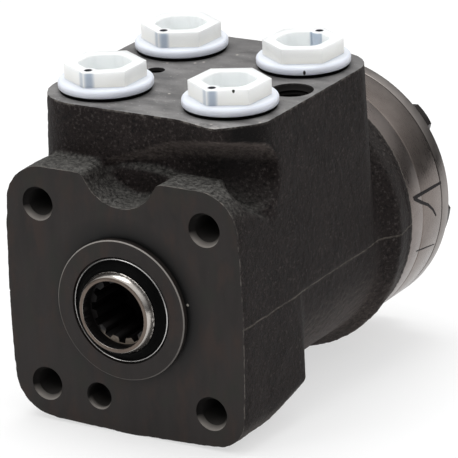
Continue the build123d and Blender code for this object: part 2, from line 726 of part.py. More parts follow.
def make_spool():
    """The inner valve: splined nose, cross holes, and a rear bore for the drive link."""
    end = SLEEVE_END_Y - LOOSE_GAP
    outer = [
        (0, SPOOL_NOSE_Y),
        (SPOOL_R - SPOOL_NOSE_CHAMFER, SPOOL_NOSE_Y),
        (SPOOL_R, SPOOL_NOSE_Y + SPOOL_NOSE_TAPER),
        (SPOOL_R, end),
        (0, end),
    ]
    body = turned(*outer)
    body -= bar(SPOOL_BORE_R, SPOOL_BORE_Y, end)
    body -= bar(INPUT_MOUTH_R, SPOOL_NOSE_Y, INPUT_SPLINE_START_Y)
    spline = toothed_bore(INPUT_SPLINE_ROOT_R, INPUT_SPLINE_TIP_R)
    body -= extrude(at_y(INPUT_SPLINE_START_Y) * spline, amount=INPUT_SPLINE_START_Y - INPUT_SPLINE_END_Y)
    swing = SPOOL_R * sin(radians(SPOOL_TRAVEL))
    body -= pin_hole(CROSS_PIN_R + swing + END_GAP, SPOOL_R + OVERRUN)
    body -= spring_slot(SPOOL_R + OVERRUN)
    return body - spool_slots()


def toothed_bore(root, tip):
    """The opening of an internal spline: a round root with straight-sided teeth standing inward."""
    return toothed(SPLINE_TEETH, tip, root)


def spool_slots():
    """Axial oil slots in the spool's outside, in two staggered rows."""
    depth_r = SPOOL_R - SPOOL_SLOT_DEPTH
    rows = [
        (GROOVE_YS[1] - SLOT_LAP, GROOVE_YS[2] + SLOT_LAP, 0),
        (GROOVE_YS[3] - SLOT_LAP, POCKET_PORT_Y + SLOT_LAP, 0.5),
    ]
    cuts = []
    for start, end, shift in rows:
        for i in range(SPOOL_SLOTS):
            slot = Pos(depth_r + SPOOL_R / 2, (start + end) / 2, 0) * Box(
                SPOOL_R, end - start, SPOOL_SLOT_WIDTH)
            cuts.append(Rot(0, 360 / SPOOL_SLOTS * (i + shift), 0) * slot)
    return cuts


def make_cross_pin():
    half = SLEEVE_R - CROSS_PIN_SHORT
    pin = extrude(Plane.YZ.offset(-half) * Pos(CROSS_PIN_Y, 0) * Circle(CROSS_PIN_R), amount=2 * half)
    return chamfer(pin.edges().filter_by(GeomType.CIRCLE), CROSS_PIN_CHAMFER)


def make_flat_springs():
    """The two flat leaves in the middle of the spring pack."""
    leaf = Box(SPRING_LENGTH, SPRING_WIDTH, SPRING_THICKNESS)
    height = (SPRING_THICKNESS + SPRING_STACK_GAP) / 2
    return [Pos(0, SPRING_Y, side * height) * leaf for side in (1, -1)]


def make_bowed_springs():
    """Two bowed leaves above the flat pair and two below, each pair nested."""
    leaves = []
    pitch = SPRING_THICKNESS + SPRING_STACK_GAP
    for side in (1, -1):
        for nest in (1, 2):
            foot = side * (pitch / 2 + (nest - 0.5) * pitch + SPRING_STACK_GAP / 2)
            leaves.append(bowed_leaf(foot, side))
    return leaves


def bowed_leaf(foot, side):
    """A leaf whose middle touches foot and whose ends curve away towards side."""
    half = SPRING_LENGTH / 2
    tip = foot + side * SPRING_BOW
    rise = side * SPRING_THICKNESS
    inner = ThreePointArc((-half, tip), (0, foot), (half, tip))
    outer = ThreePointArc((half, tip + rise), (0, foot + rise), (-half, tip + rise))
    ends = [Line((half, tip), (half, tip + rise)), Line((-half, tip + rise), (-half, tip))]
    section = make_face(Curve() + [inner, outer] + ends)
    return extrude(at_y(SPRING_Y - SPRING_WIDTH / 2) * section, amount=-SPRING_WIDTH)


# ---------------------------------------------------------------- front bearing and seals

def make_dust_seal_case():
    return tube(SEAL_POCKET_R, DUST_CASE_INNER_R, DUST_CASE_Y, DUST_CASE_Y + SEAL_POCKET_DEPTH)


def make_dust_seal_lip():
    """Rubber moulded inside the case, with a lip that leans out to the spool's nose."""
    touch = SPOOL_R + RUNNING_GAP
    inner = (DUST_CASE_INNER_R + touch) / 2
    end = DUST_CASE_Y + SEAL_POCKET_DEPTH
    profile = [
        (DUST_CASE_INNER_R, DUST_CASE_Y + END_GAP),
        (touch, DUST_LIP_Y),
        (touch, DUST_LIP_Y + DUST_LIP_THICKNESS / 2),
        (inner, DUST_CASE_Y + DUST_LIP_THICKNESS),
        (inner, end),
        (DUST_CASE_INNER_R, end),
    ]
    return turned(*profile)


def make_seal_washer():
    start = DUST_CASE_Y + SEAL_POCKET_DEPTH
    return tube(SHAFT_SEAL_R, SPOOL_R + LOOSE_GAP, start, SHAFT_SEAL_Y)


def make_shaft_seal_ring():
    inner = SPOOL_R + RUNNING_GAP
    return tube(inner + SHAFT_SEAL_RING_WALL, inner, SHAFT_SEAL_Y, SHAFT_SEAL_Y + SHAFT_SEAL_LENGTH)


def make_shaft_seal_o_ring():
    """The rubber ring that presses the seal ring on to the spool."""
    inner = SPOOL_R + RUNNING_GAP + SHAFT_SEAL_RING_WALL
    cord = SHAFT_SEAL_R - inner
    centre = ((inner + SHAFT_SEAL_R) / 2, SHAFT_SEAL_Y + SHAFT_SEAL_LENGTH / 2)
    return revolve(Plane.XY * Pos(*centre) * Circle(cord / 2 - SEAT_GAP), axis=Axis.Y)


def make_bearing_front_race():
    return tube(SLEEVE_R, BEARING_INNER_R, BEARING_FRONT_Y, BEARING_FRONT_Y + THRUST_RACE)


def make_bearing_rear_race():
    return tube(SLEEVE_R, BEARING_INNER_R, BEARING_REAR_Y - THRUST_RACE, BEARING_REAR_Y)


def needle(radius, length):
    """One roller, lying radially in the middle of the bearing."""
    middle = (BEARING_FRONT_Y + BEARING_REAR_Y) / 2
    start = NEEDLE_PITCH_R - length / 2
    return extrude(Plane.YZ.offset(start) * Pos(middle, 0) * Circle(radius), amount=length)


def make_bearing_needles():
    roller = needle(NEEDLE_R, NEEDLE_LENGTH)
    return [Rot(0, 360 / NEEDLE_COUNT * i, 0) * roller for i in range(NEEDLE_COUNT)]


def make_bearing_cage():
    middle = (BEARING_FRONT_Y + BEARING_REAR_Y) / 2
    outer = SLEEVE_R - END_GAP
    cage = tube(outer, BEARING_INNER_R, middle - CAGE_THICKNESS / 2, middle + CAGE_THICKNESS / 2)
    pocket = needle(NEEDLE_R + RUNNING_GAP, NEEDLE_LENGTH + 2 * RUNNING_GAP)
    return cage - [Rot(0, 360 / NEEDLE_COUNT * i, 0) * pocket for i in range(NEEDLE_COUNT)]


# ---------------------------------------------------------------- drive link and spacer

def make_drive_link():
    """The splined link that carries the star's turning to the cross pin, tilted as it orbits."""
    front = CROSS_PIN_Y - LINK_FORK_LENGTH / 2
    rear = front + LINK_FORK_LENGTH
    end = LINK_HEAD_Y + LINK_SPLINE_LENGTH
    step = LINK_HEAD_R - LINK_SHAFT_R
    body = turned(
        (0, front),
        (LINK_HEAD_R - LINK_END_R, front),
        (LINK_HEAD_R, front + LINK_END_R),
        (LINK_HEAD_R, rear),
        (LINK_SHAFT_R, rear + step),
        (LINK_SHAFT_R, LINK_HEAD_Y - LINK_END_R),
        (LINK_SPLINE_ROOT_R - LINK_END_R, LINK_HEAD_Y),
        (LINK_SPLINE_ROOT_R - LINK_END_R, end),
        (0, end),
    )
    teeth = toothed(SPLINE_TEETH, LINK_SPLINE_ROOT_R, LINK_SPLINE_TIP_R, 0.36)
    body += extrude(at_y(LINK_HEAD_Y) * teeth, amount=-LINK_SPLINE_LENGTH)
    half_slot = CROSS_PIN_R + LINK_SLOT_GAP
    mouth = CROSS_PIN_Y - front
    body -= Pos(0, CROSS_PIN_Y - mouth / 2, 0) * Box(4 * LINK_HEAD_R, mouth, 2 * half_slot)
    body -= pin_hole(half_slot, 2 * LINK_HEAD_R)
    pivot = Pos(0, CROSS_PIN_Y, 0)
    return pivot * Rot(LINK_TILT, 0, 0) * pivot.inverse() * body


def make_spacer():
    return bar(SPACER_R, SPACER_Y, SPACER_Y + SPACER_THICKNESS, 0, STAR_CENTRE_Z)


# ---------------------------------------------------------------- check valve

def make_check_seat():
    """The threaded bushing that the ball rises against."""
    x, y = check_place()
    body = post(CHECK_POCKET_R, CHECK_SEAT_Z, CHECK_SEAT_Z + CHECK_SEAT_HEIGHT, x, y)
    return body - post(CHECK_SEAT_R, CHECK_SEAT_Z, CHECK_SEAT_Z + CHECK_SEAT_HEIGHT, x, y)


def make_check_ball():
    x, y = check_place()
    return Pos(x, y, CHECK_REST_Z) * Sphere(CHECK_BALL_R)


# ---------------------------------------------------------------- port plugs

def make_plug(x, y, hole_angle):
    """A moulded transport plug: flange, hollow hexagon with a boss inside it, and a hollow shank."""
    seat = PORT_FACE_Z + RING_SECTION
    top = PORT_FACE_Z + PLUG_TOP
    flange_top = seat + PLUG_FLANGE
    body = turned_z(
        0, 0,
        (0, seat),
        (PLUG_FLANGE_R - PLUG_FLANGE_EDGE / 2, seat),
        (PLUG_FLANGE_R, seat + PLUG_FLANGE_EDGE / 2),
        (PLUG_FLANGE_R, flange_top - PLUG_FLANGE_EDGE),
        (PLUG_FLANGE_R - PLUG_FLANGE_EDGE, flange_top),
        (0, flange_top),
    )
    hexagon = RegularPolygon(PLUG_HEX_AF / 2, 6, major_radius=False, rotation=hole_angle)
    body += extrude(Plane.XY.offset(flange_top) * hexagon, amount=top - flange_top)
    body += post(PLUG_SHANK_R, PORT_FACE_Z - PLUG_SHANK, seat)
    body -= post(PLUG_SHANK_R - PLUG_WALL, PORT_FACE_Z - PLUG_SHANK, seat - PLUG_WALL / 2)
    pin_x, pin_y = polar(PLUG_PIN_HOLE_PITCH_R, hole_angle)
    recess = RegularPolygon(PLUG_RECESS_AF / 2, 6, major_radius=False, rotation=hole_angle)
    recess = fillet(recess.vertices(), PLUG_RECESS_CORNER_R) - Pos(pin_x, pin_y) * Circle(PLUG_BOSS_R)
    body -= extrude(Plane.XY.offset(seat + PLUG_FLOOR) * recess, amount=top - seat - PLUG_FLOOR)
    body -= post(PLUG_PIN_HOLE_R, seat + PLUG_FLANGE / 2, top, pin_x, pin_y)
    return Pos(x, y, 0) * body


def make_plug_ring(x, y):
    ring = extrude(Plane.XY.offset(PORT_FACE_Z) * (Circle(RING_OUTER_R) - Circle(RING_INNER_R)),
                   amount=RING_SECTION)
    return Pos(x, y, 0) * ring


# ---------------------------------------------------------------- assembly

def all_parts():
    parts = {
        "housing": make_housing(),
        "distributor_plate": make_distributor_plate(),
        "gear_ring": make_gear_ring(),
        "gear_star": make_gear_star(),
        "end_cover": make_end_cover(),
        "cover_bolts": make_cover_bolts(),
        "bolt_washers": make_bolt_washers(),
        "housing_o_ring": o_ring(HOUSING_REAR_Y, -1),
        "plate_o_ring": o_ring(RING_Y, -1),
        "cover_o_ring": o_ring(COVER_Y, 1),
        "dust_seal_case": make_dust_seal_case(),
        "dust_seal_lip": make_dust_seal_lip(),
        "seal_washer": make_seal_washer(),
        "shaft_seal_ring": make_shaft_seal_ring(),
        "shaft_seal_o_ring": make_shaft_seal_o_ring(),
        "bearing_front_race": make_bearing_front_race(),
        "bearing_cage": make_bearing_cage(),
        "bearing_needles": make_bearing_needles(),
        "bearing_rear_race": make_bearing_rear_race(),
        "sleeve": make_sleeve(),
        "spool": make_spool(),
        "flat_springs": make_flat_springs(),
        "bowed_springs": make_bowed_springs(),
        "cross_pin": make_cross_pin(),
        "drive_link": make_drive_link(),
        "spacer": make_spacer(),
        "check_seat": make_check_seat(),
        "check_ball": make_check_ball(),
    }
    for name, x, y, _, hole_angle in PORTS:
        parts[name + "_plug"] = make_plug(x, y, hole_angle)
        parts[name + "_plug_ring"] = make_plug_ring(x, y)
    return parts


def write_parts():
    """Write one STEP file for each sub-part."""
    os.makedirs("parts", exist_ok=True)
    for name, shape in all_parts().items():
        solids = shape if isinstance(shape, list) else [shape]
        export_step(Compound(children=[s for item in solids for s in item.solids()]),
                    "parts/" + name + ".step")


write_parts()
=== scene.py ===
# %% [markdown]
# # Dressing an orbital steering unit
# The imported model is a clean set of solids. This lesson gives it the surfaces of the real thing: a sand
# casting with machined faces, moulded port plugs, a rubber dust seal, ground steel discs and blackened
# bolts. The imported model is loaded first, and nothing in it is moved.

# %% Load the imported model
import json
import math

import bpy
from mathutils import Matrix, Vector


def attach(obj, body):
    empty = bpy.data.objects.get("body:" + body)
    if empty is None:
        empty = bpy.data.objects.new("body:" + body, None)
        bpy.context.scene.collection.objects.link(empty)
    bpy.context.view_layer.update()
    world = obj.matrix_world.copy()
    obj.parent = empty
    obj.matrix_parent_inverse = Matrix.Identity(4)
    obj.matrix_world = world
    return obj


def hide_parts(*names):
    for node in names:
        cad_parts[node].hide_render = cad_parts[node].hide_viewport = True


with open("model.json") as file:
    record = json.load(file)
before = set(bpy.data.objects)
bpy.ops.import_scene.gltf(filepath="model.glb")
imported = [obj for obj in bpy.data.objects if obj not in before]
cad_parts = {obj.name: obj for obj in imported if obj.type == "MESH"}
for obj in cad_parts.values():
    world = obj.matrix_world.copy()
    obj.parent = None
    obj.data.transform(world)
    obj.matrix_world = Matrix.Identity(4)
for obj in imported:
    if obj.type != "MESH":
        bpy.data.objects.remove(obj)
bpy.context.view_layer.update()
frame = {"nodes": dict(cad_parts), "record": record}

nodes = frame["nodes"]

# %% [markdown]
# ## Working in millimetres
# Blender counts in metres and a fitter thinks in millimetres, so every size below is written in
# millimetres and passes through mm(). The shaft runs along Y, the ports look up along Z, and the
# origin is the middle of the mounting face.

# %% Sizes that several pieces share
MM = 0.001
UP = Vector((0, 0, 1))
STACK_R = 42.6
PORT_FACE_Z = 57.8
REAR_Y = 104.1
COVER_Y = 125.2
BOLT_CIRCLE_R = 33.8
FLASH_Z = -0.5
PLUG_SEAT_Z = 58.85

# Each port: x, y and the turn of its plug in degrees.
PORTS = {
    "front_left": (-21.88, 30.07, -90),
    "front_right": (21.88, 30.07, -93),
    "rear_left": (-21.88, 74.95, -93),
    "rear_right": (21.88, 74.95, 87),
}
BOLT_ANGLES = [90 + 360 / 7 * i for i in range(7)]


def mm(*values):
    """Millimetres to metres, one value or a point."""
    return values[0] * MM if len(values) == 1 else Vector(values) * MM


def polar(radius, degrees):
    """The x and z of a point round the shaft, from +X towards +Z."""
    turn = math.radians(degrees)
    return radius * math.cos(turn), radius * math.sin(turn)


print("ports:", len(PORTS), "cover bolts:", len(BOLT_ANGLES))

# %% [markdown]
# ## Habits at the bench
# An operator acts on whatever is selected, so each step starts with an empty selection. Faces and
# points are then picked by where they lie, as a hand would pick them, but in a way that can be
# repeated.

# %% Selecting and applying
def only(piece):
    """Select one piece and make it active."""
    bpy.ops.object.select_all(action="DESELECT")
    piece.select_set(True)
    bpy.context.view_layer.objects.active = piece
    return piece


def pick(piece, test, mode="VERT"):
    """In edit mode, select the points, edges or faces whose place passes the test."""
    only(piece)
    bpy.ops.object.mode_set(mode="EDIT")
    bpy.ops.mesh.select_mode(type=mode)
    bpy.ops.mesh.select_all(action="DESELECT")
    bpy.ops.object.mode_set(mode="OBJECT")
    mesh = piece.data
    if mode == "VERT":
        found = [v for v in mesh.vertices if test(v.co / MM)]
    elif mode == "EDGE":
        ends = [[mesh.vertices[i].co / MM for i in e.vertices] for e in mesh.edges]
        found = [e for e, (a, b) in zip(mesh.edges, ends) if test(a, b)]
    else:
        found = [f for f in mesh.polygons if test(f.center / MM, f.normal)]
    for item in found:
        item.select = True
    bpy.ops.object.mode_set(mode="EDIT")
    return len(found)


def done(piece):
    """Leave edit mode with the piece's place held in its mesh."""
    bpy.ops.object.mode_set(mode="OBJECT")
    only(piece)
    bpy.ops.object.transform_apply(location=True, rotation=True, scale=True)
    return piece


def modifier(piece, kind, **settings):
    """Add one modifier and apply it at once."""
    only(piece)
    bpy.ops.object.modifier_add(type=kind)
    added = piece.modifiers[-1]
    for name, value in settings.items():
        setattr(added, name, value)
    bpy.ops.object.modifier_apply(modifier=added.name)
    return piece


def carve(piece, cutter, operation="DIFFERENCE"):
    """Cut, join or intersect with another closed mesh, which is used up."""
    modifier(piece, "BOOLEAN", object=cutter, operation=operation, solver="MANIFOLD")
    bpy.data.objects.remove(cutter)
    return piece


def with_finish(piece, material):
    """The whole piece in one finish."""
    piece.data.materials.clear()
    piece.data.materials.append(material)
    return piece


def joined(*pieces):
    """Several meshes as one object."""
    bpy.ops.object.select_all(action="DESELECT")
    for piece in pieces:
        piece.select_set(True)
    bpy.context.view_layer.objects.active = pieces[0]
    bpy.ops.object.join()
    return pieces[0]


def smoothed(piece, degrees):
    """Shade smoothly, apart from edges that turn by more than this."""
    only(piece)
    bpy.ops.object.shade_smooth_by_angle(angle=math.radians(degrees))
    return piece


print("bench ready")

# %% [markdown]
# ## Turned shapes
# Most of the unit is turned: bores, seals, plugs' flanges and bolt heads. A single point is drawn out
# corner by corner into a half outline, as on a lathe drawing, and spun about its axis.

# %% A lathe
def turned(name, corners, axis="Y", centre=(0, 0, 0), steps=96, closed=False):
    """Spin an outline of (radius, distance along the axis) corners; open ends lie on the axis."""
    along = Vector((0, 1, 0)) if axis == "Y" else UP
    spot = mm(*centre)
    places = [Vector((r, 0, 0)) * MM + along * (a * MM) + spot for r, a in corners]
    bpy.ops.object.select_all(action="DESELECT")
    bpy.ops.mesh.primitive_plane_add(size=MM, location=places[0])
    piece = bpy.context.object
    piece.name = name
    bpy.ops.object.transform_apply(location=True, rotation=True, scale=True)
    bpy.ops.object.mode_set(mode="EDIT")
    bpy.ops.mesh.select_mode(type="VERT")
    bpy.ops.mesh.select_all(action="SELECT")
    bpy.ops.mesh.merge(type="CENTER")
    for start, end in zip(places, places[1:] + places[:1] if closed else places[1:]):
        bpy.ops.mesh.extrude_vertices_move(TRANSFORM_OT_translate={"value": end - start})
    bpy.ops.mesh.select_all(action="SELECT")
    bpy.ops.mesh.remove_doubles(threshold=MM * 0.002)
    bpy.ops.mesh.spin(steps=steps, angle=math.tau, center=spot, axis=along)
    bpy.ops.mesh.select_all(action="SELECT")
    bpy.ops.mesh.remove_doubles(threshold=MM * 0.002)
    bpy.ops.mesh.normals_make_consistent(inside=False)
    bpy.ops.mesh.delete_loose()
    return done(piece)


def rod(name, radius, start, end, steps=32):
    """A round bar between two points, in millimetres."""
    a, b = mm(*start), mm(*end)
    bpy.ops.object.select_all(action="DESELECT")
    bpy.ops.mesh.primitive_cylinder_add(
        vertices=steps, radius=mm(radius), depth=(b - a).length, location=(a + b) / 2,
        rotation=UP.rotation_difference(b - a).to_euler())
    bpy.context.object.name = name
    bpy.ops.object.transform_apply(location=True, rotation=True, scale=True)
    return bpy.context.object


def box(name, low, high):
    """A block between two corners, in millimetres."""
    a, b = mm(*low), mm(*high)
    bpy.ops.object.select_all(action="DESELECT")
    bpy.ops.mesh.primitive_cube_add(size=1, location=(a + b) / 2, scale=b - a)
    bpy.context.object.name = name
    bpy.ops.object.transform_apply(location=True, rotation=True, scale=True)
    return bpy.context.object


print("lathe, rods and blocks ready")

# %% [markdown] ## A small kit for finishes Each finish is a chain of noise and masks that ends in
# one shader. Ramps take plain values, and bands take places and distances in millimetres.

# %% Node helpers
class Finish:
    """One material with its node tree and a few short ways to add nodes to it."""

    def __init__(self, name, **constants):
        self.material = bpy.data.materials.new(name)
        self.material.use_nodes = True
        self.tree = self.material.node_tree
        self.shader = self.tree.nodes["Principled BSDF"]
        for socket, value in constants.items():
            self.shader.inputs[socket.replace("_", " ")].default_value = value
        self.place = self.node("ShaderNodeTexCoord").outputs["Object"]

    def node(self, kind, links=(), **settings):
        """Add a node, with each of its sockets set to a value or linked to a source."""
        made = self.tree.nodes.new(kind)
        for key, value in settings.items():
            setattr(made, key, value)
        for socket, source in dict(links).items():
            if isinstance(source, bpy.types.NodeSocket):
                self.tree.links.new(source, made.inputs[socket])
            else:
                made.inputs[socket].default_value = source
        return made

    def grain(self, size, detail=3.0, rough=0.6, stretch=(1, 1, 1)):
        """Noise whose lumps are about size millimetres across."""
        where = self.node("ShaderNodeMapping", {"Vector": self.place, "Scale": stretch})
        links = {"Vector": where.outputs[0], "Scale": 1 / mm(size), "Detail": detail, "Roughness": rough}
        return self.node("ShaderNodeTexNoise", links).outputs["Fac"]

    def ramp(self, source, low, high, start=0.0, end=1.0):
        """Map a value's range on to another, without passing its ends."""
        links = {"Value": source, "From Min": low, "From Max": high, "To Min": start, "To Max": end}
        return self.node("ShaderNodeMapRange", links).outputs[0]

    def band(self, source, low, high, start=0.0, end=1.0):
        """A ramp over a coordinate or a distance, with its ends in millimetres."""
        return self.ramp(source, mm(low), mm(high), start, end)

    def tone(self, factor, first, second):
        """Blend two colours."""
        mix = self.node("ShaderNodeMix", {"Factor": factor}, data_type="RGBA")
        for slot, value in ((6, first), (7, second)):
            if isinstance(value, bpy.types.NodeSocket):
                self.tree.links.new(value, mix.inputs[slot])
            else:
                mix.inputs[slot].default_value = (*value, 1)
        return mix.outputs[2]

    def sums(self, operation, a, b):
        """One step of arithmetic on values or masks."""
        return self.node("ShaderNodeMath", {0: a, 1: b}, operation=operation).outputs[0]

    def times(self, first, *others):
        """The product of several masks or numbers."""
        for other in others:
            first = self.sums("MULTIPLY", first, other)
        return first

    def axis(self, letter):
        """One coordinate of the place, in metres."""
        split = self.node("ShaderNodeSeparateXYZ", {"Vector": self.place})
        return split.outputs[letter]

    def upward(self):
        """How far the surface looks up: 1 on a level top, 0 on a wall."""
        normal = self.node("ShaderNodeTexCoord").outputs["Normal"]
        return self.node("ShaderNodeSeparateXYZ", {"Vector": normal}).outputs["Z"]

    def away(self, point, keep=(1, 1, 1)):
        """Distance in metres from a point given in millimetres; keep drops directions that don't count."""
        flat = self.node("ShaderNodeVectorMath", {0: self.place, 1: keep}, operation="MULTIPLY")
        spot = tuple(p * k * MM for p, k in zip(point, keep))
        gap = self.node("ShaderNodeVectorMath", {0: flat.outputs[0], 1: spot}, operation="DISTANCE")
        return gap.outputs["Value"]

    def end(self, colour=None, roughness=None, height=None, depth=0.1, strength=1.0):
        """Join colour, roughness and bump to the shader; depth is the bump's height in millimetres."""
        if colour is not None:
            self.tree.links.new(colour, self.shader.inputs["Base Color"])
        if roughness is not None:
            self.tree.links.new(roughness, self.shader.inputs["Roughness"])
        if height is not None:
            links = {"Height": height, "Distance": mm(depth), "Strength": strength}
            bump = self.node("ShaderNodeBump", links)
            self.tree.links.new(bump.outputs[0], self.shader.inputs["Normal"])
        return self.material


print("finish kit ready")

# %% [markdown]
# ## Finishes of the casting
# The casting is grey iron with a dark phosphate coat. Its skin keeps the grain of the moulding sand.
# Where a cutter has passed, the iron is smooth and lighter, with the faint arcs or lines of the tool.
# One finish serves each of these, so that the cut between them is as sharp as on the real piece.

# %% Cast skin and machined iron
# Black for painted shade, under the port block's front and beside the pilot ring.
PAINTED_SHADE_BLACK = (0.002, 0.002, 0.002)
BARE_EDGE = (0.15, 0.135, 0.118)
OVERHANG_SHADE_PLACE = (31, 12, 50)


def cast_skin():
    """Dark sand-cast iron with pale edges and seams; a painted top light on level places, a painted floor
    light on faces that look down, and painted shade under the front of the port block.
    """
    skin = Finish("cast_skin", Specular_IOR_Level=0.12)
    fine = skin.grain(0.55, 2.0)
    sand = skin.grain(1.1, 4.0, 0.7)
    cloud = skin.grain(14.0, 3.0)
    patches = skin.ramp(cloud, 0.35, 0.65)
    base = skin.tone(patches, (0.0125, 0.0092, 0.0087), (0.0195, 0.0150, 0.0142))
    grains = skin.tone(skin.ramp(sand, 0.55, 0.72), base, (0.075, 0.066, 0.062))
    grains = skin.tone(skin.ramp(sand, 0.46, 0.36), grains, (0.003, 0.0025, 0.0025))
    # Painted top light: level places ahead of the port block are painted lighter.
    upward = skin.times(skin.ramp(skin.upward(), 0.25, 0.95), skin.band(skin.axis("Y"), 21, 15, 0.25))
    painted_top_light = skin.tone(skin.ramp(sand, 0.38, 0.66), (0.020, 0.019, 0.018), (0.120, 0.117, 0.109))
    colour = skin.tone(upward, grains, painted_top_light)
    # Painted shade on the wall under the front of the port block, where its overhang shades it.
    overhang_shade = skin.times(skin.band(skin.away(OVERHANG_SHADE_PLACE), 18, 9, 0, 0.8), skin.band(skin.axis("Y"), 10, 13))
    colour = skin.tone(overhang_shade, colour, PAINTED_SHADE_BLACK)
    # Painted floor light: faces that look down are painted lighter.
    under = skin.ramp(skin.upward(), -0.2, -0.85, 0, 0.85)
    lit_below = skin.tone(skin.ramp(sand, 0.4, 0.62), (0.060, 0.049, 0.045), (0.150, 0.126, 0.115))
    colour = skin.tone(under, colour, lit_below)
    front = skin.band(skin.axis("Y"), 0.75, 0.15)
    top = skin.band(skin.axis("Z"), PORT_FACE_Z - 0.8, PORT_FACE_Z - 0.15)
    chips = skin.ramp(skin.grain(2.6, 4.0, 0.7), 0.44, 0.6, 0.05, 0.9)
    corner = skin.sums("MAXIMUM", front, top)
    colour = skin.tone(skin.times(corner, chips), colour, (0.17, 0.155, 0.14))
    wander = skin.ramp(skin.grain(6.0, 2.0), 0.2, 0.8, mm(-0.25), mm(0.25))
    seam = skin.sums("ADD", skin.sums("ADD", skin.axis("Z"), -mm(FLASH_Z)), wander)
    line = skin.band(skin.sums("ABSOLUTE", seam, 0.0), 0.42, 0.18)
    line = skin.times(line, skin.ramp(sand, 0.36, 0.6, 0.15, 0.9))
    colour = skin.tone(line, colour, BARE_EDGE)
    rear = skin.band(skin.axis("Y"), REAR_Y - 0.55, REAR_Y - 0.15, 0, 0.8)
    colour = skin.tone(rear, colour, BARE_EDGE)
    height = skin.sums("ADD", skin.times(sand, 0.7), skin.times(fine, 0.3))
    return skin.end(colour, skin.ramp(sand, 0.3, 0.7, 0.5, 0.8), height, 0.5, 1.0)


def machined(name, dark, light, pitch, roughness, direction=(1, 1, 1), fleck_share=0.5, shade=None,
             cloud_size=9.0, cloud_direction=(1, 1, 1), gloss=0.25):
    """Cut iron: a clouded tone with pale and dark flecks, and the marks of the tool, pitch mm apart."""
    iron = Finish(name, Specular_IOR_Level=gloss)
    cloud = iron.grain(cloud_size, 4.0, 0.6, cloud_direction)
    fleck = iron.grain(0.8, 2.0, 0.6)
    marks = iron.grain(pitch, 1.0, 0.4, direction)
    colour = iron.tone(iron.ramp(cloud, 0.32, 0.68), dark, light)
    pale = tuple(min(1, c * 2.0) for c in light)
    colour = iron.tone(iron.ramp(fleck, 0.66, 0.76, 0, fleck_share), colour, pale)
    deep = tuple(c * 0.45 for c in dark)
    colour = iron.tone(iron.ramp(fleck, 0.34, 0.26, 0, fleck_share), colour, deep)
    if shade:
        colour = shade(iron, colour)
    spread = iron.ramp(cloud, 0.3, 0.7, roughness - 0.08, roughness + 0.1)
    return iron.end(colour, spread, marks, 0.02, 0.5)


DUST_SPECK = (22.4, 0, 4.6)


def rust_with_painted_ring_light(iron, colour):
    """Rust and oil in soft patches, painted shade beside the pilot ring, a painted highlight on the ring's
    chamfer, and a fleck of dust.
    """
    rust = iron.ramp(iron.grain(7.0, 3.0, 0.6, (1.3, 1, 0.5)), 0.5, 0.66, 0, 0.55)
    colour = iron.tone(rust, colour, (0.034, 0.019, 0.014))
    moss = iron.ramp(iron.grain(9.0, 3.0, 0.6, (1, 1.3, 0.6)), 0.52, 0.66, 0, 0.5)
    colour = iron.tone(moss, colour, (0.015, 0.017, 0.012))
    radius = iron.away((0, 0, 0), (1, 0, 1))
    # A painted highlight on the pilot ring's chamfer, brighter towards the top.
    edge = iron.times(iron.band(radius, 21.84, 21.92), iron.band(iron.axis("Y"), -1.83, -1.9))
    lit = iron.band(iron.axis("Z"), -22, 20, 0.25, 0.95)
    colour = iron.tone(iron.times(edge, lit), colour, (0.30, 0.28, 0.26))
    # Painted shade on the mounting face beside the pilot ring, stronger towards its upper right.
    ring_shade = iron.band(radius, 29.5, 22.8)
    face = iron.band(iron.axis("Y"), -0.6, -0.1)
    side = iron.band(iron.sums("ADD", iron.axis("X"), iron.axis("Z")), -14, 16, 0.15, 1.0)
    mask = iron.times(ring_shade, face, side)
    colour = iron.tone(mask, colour, PAINTED_SHADE_BLACK)
    dust = iron.band(iron.away(DUST_SPECK), 0.5, 0.3, 0, 0.8)
    return iron.tone(dust, colour, (0.40, 0.37, 0.33))


def painted_hole_shade(iron, colour):
    """Painted shade makes a hole black; painted highlights where a countersink of the mounting face looks up,
    and painted glints at the mouths under the port face.
    """
    level = iron.axis("Z")
    glint = iron.ramp(iron.grain(1.3, 3.0), 0.42, 0.6, 0.15, 0.9)
    depth = iron.band(iron.axis("Y"), 2.2, 0.6, 0.12)
    lower = iron.times(iron.band(level, 38.5, 37.5), depth)
    lower = iron.times(lower, iron.ramp(iron.upward(), 0.2, 0.7))
    # Painted shade: the walls of every hole are nearly black.
    colour = iron.tone(0.93, colour, (0.005, 0.0045, 0.0045))
    # Painted highlight on the countersinks of the mounting face, where they look up.
    colour = iron.tone(lower, colour, (0.27, 0.25, 0.23))
    # Painted glints at the mouths just under the port face.
    rim = iron.times(iron.band(level, 57.2, 57.7), glint)
    return iron.tone(iron.times(rim, 0.3), colour, (0.20, 0.19, 0.18))


# Crumbs of grit that lie on the port face, as x and y.
CRUMBS = [
    (-1.4, 33.2), (25.4, 12.7), (37.8, 20.1), (-18.1, 59.8), (-8.2, 65.2), (-2.4, 75.9), (-10.2, 63.3),
]


def lighter_front(iron, colour):
    """The port face darkens towards the rear; its front edge is chipped, and a few crumbs lie on it."""
    place = iron.band(iron.axis("Y"), 15, 95)
    colour = iron.tone(iron.times(place, 0.45), colour, (0.08, 0.077, 0.077))
    chips = iron.ramp(iron.grain(1.9, 4.0, 0.7), 0.47, 0.58, 0, 0.8)
    edge = iron.times(iron.band(iron.axis("Y"), 13.5, 9.5), chips)
    colour = iron.tone(edge, colour, (0.40, 0.38, 0.36))
    for x, y in CRUMBS:
        crumb = iron.band(iron.away((x, y, PORT_FACE_Z)), 0.55, 0.3, 0, 0.8)
        colour = iron.tone(crumb, colour, (0.45, 0.42, 0.38))
    return colour


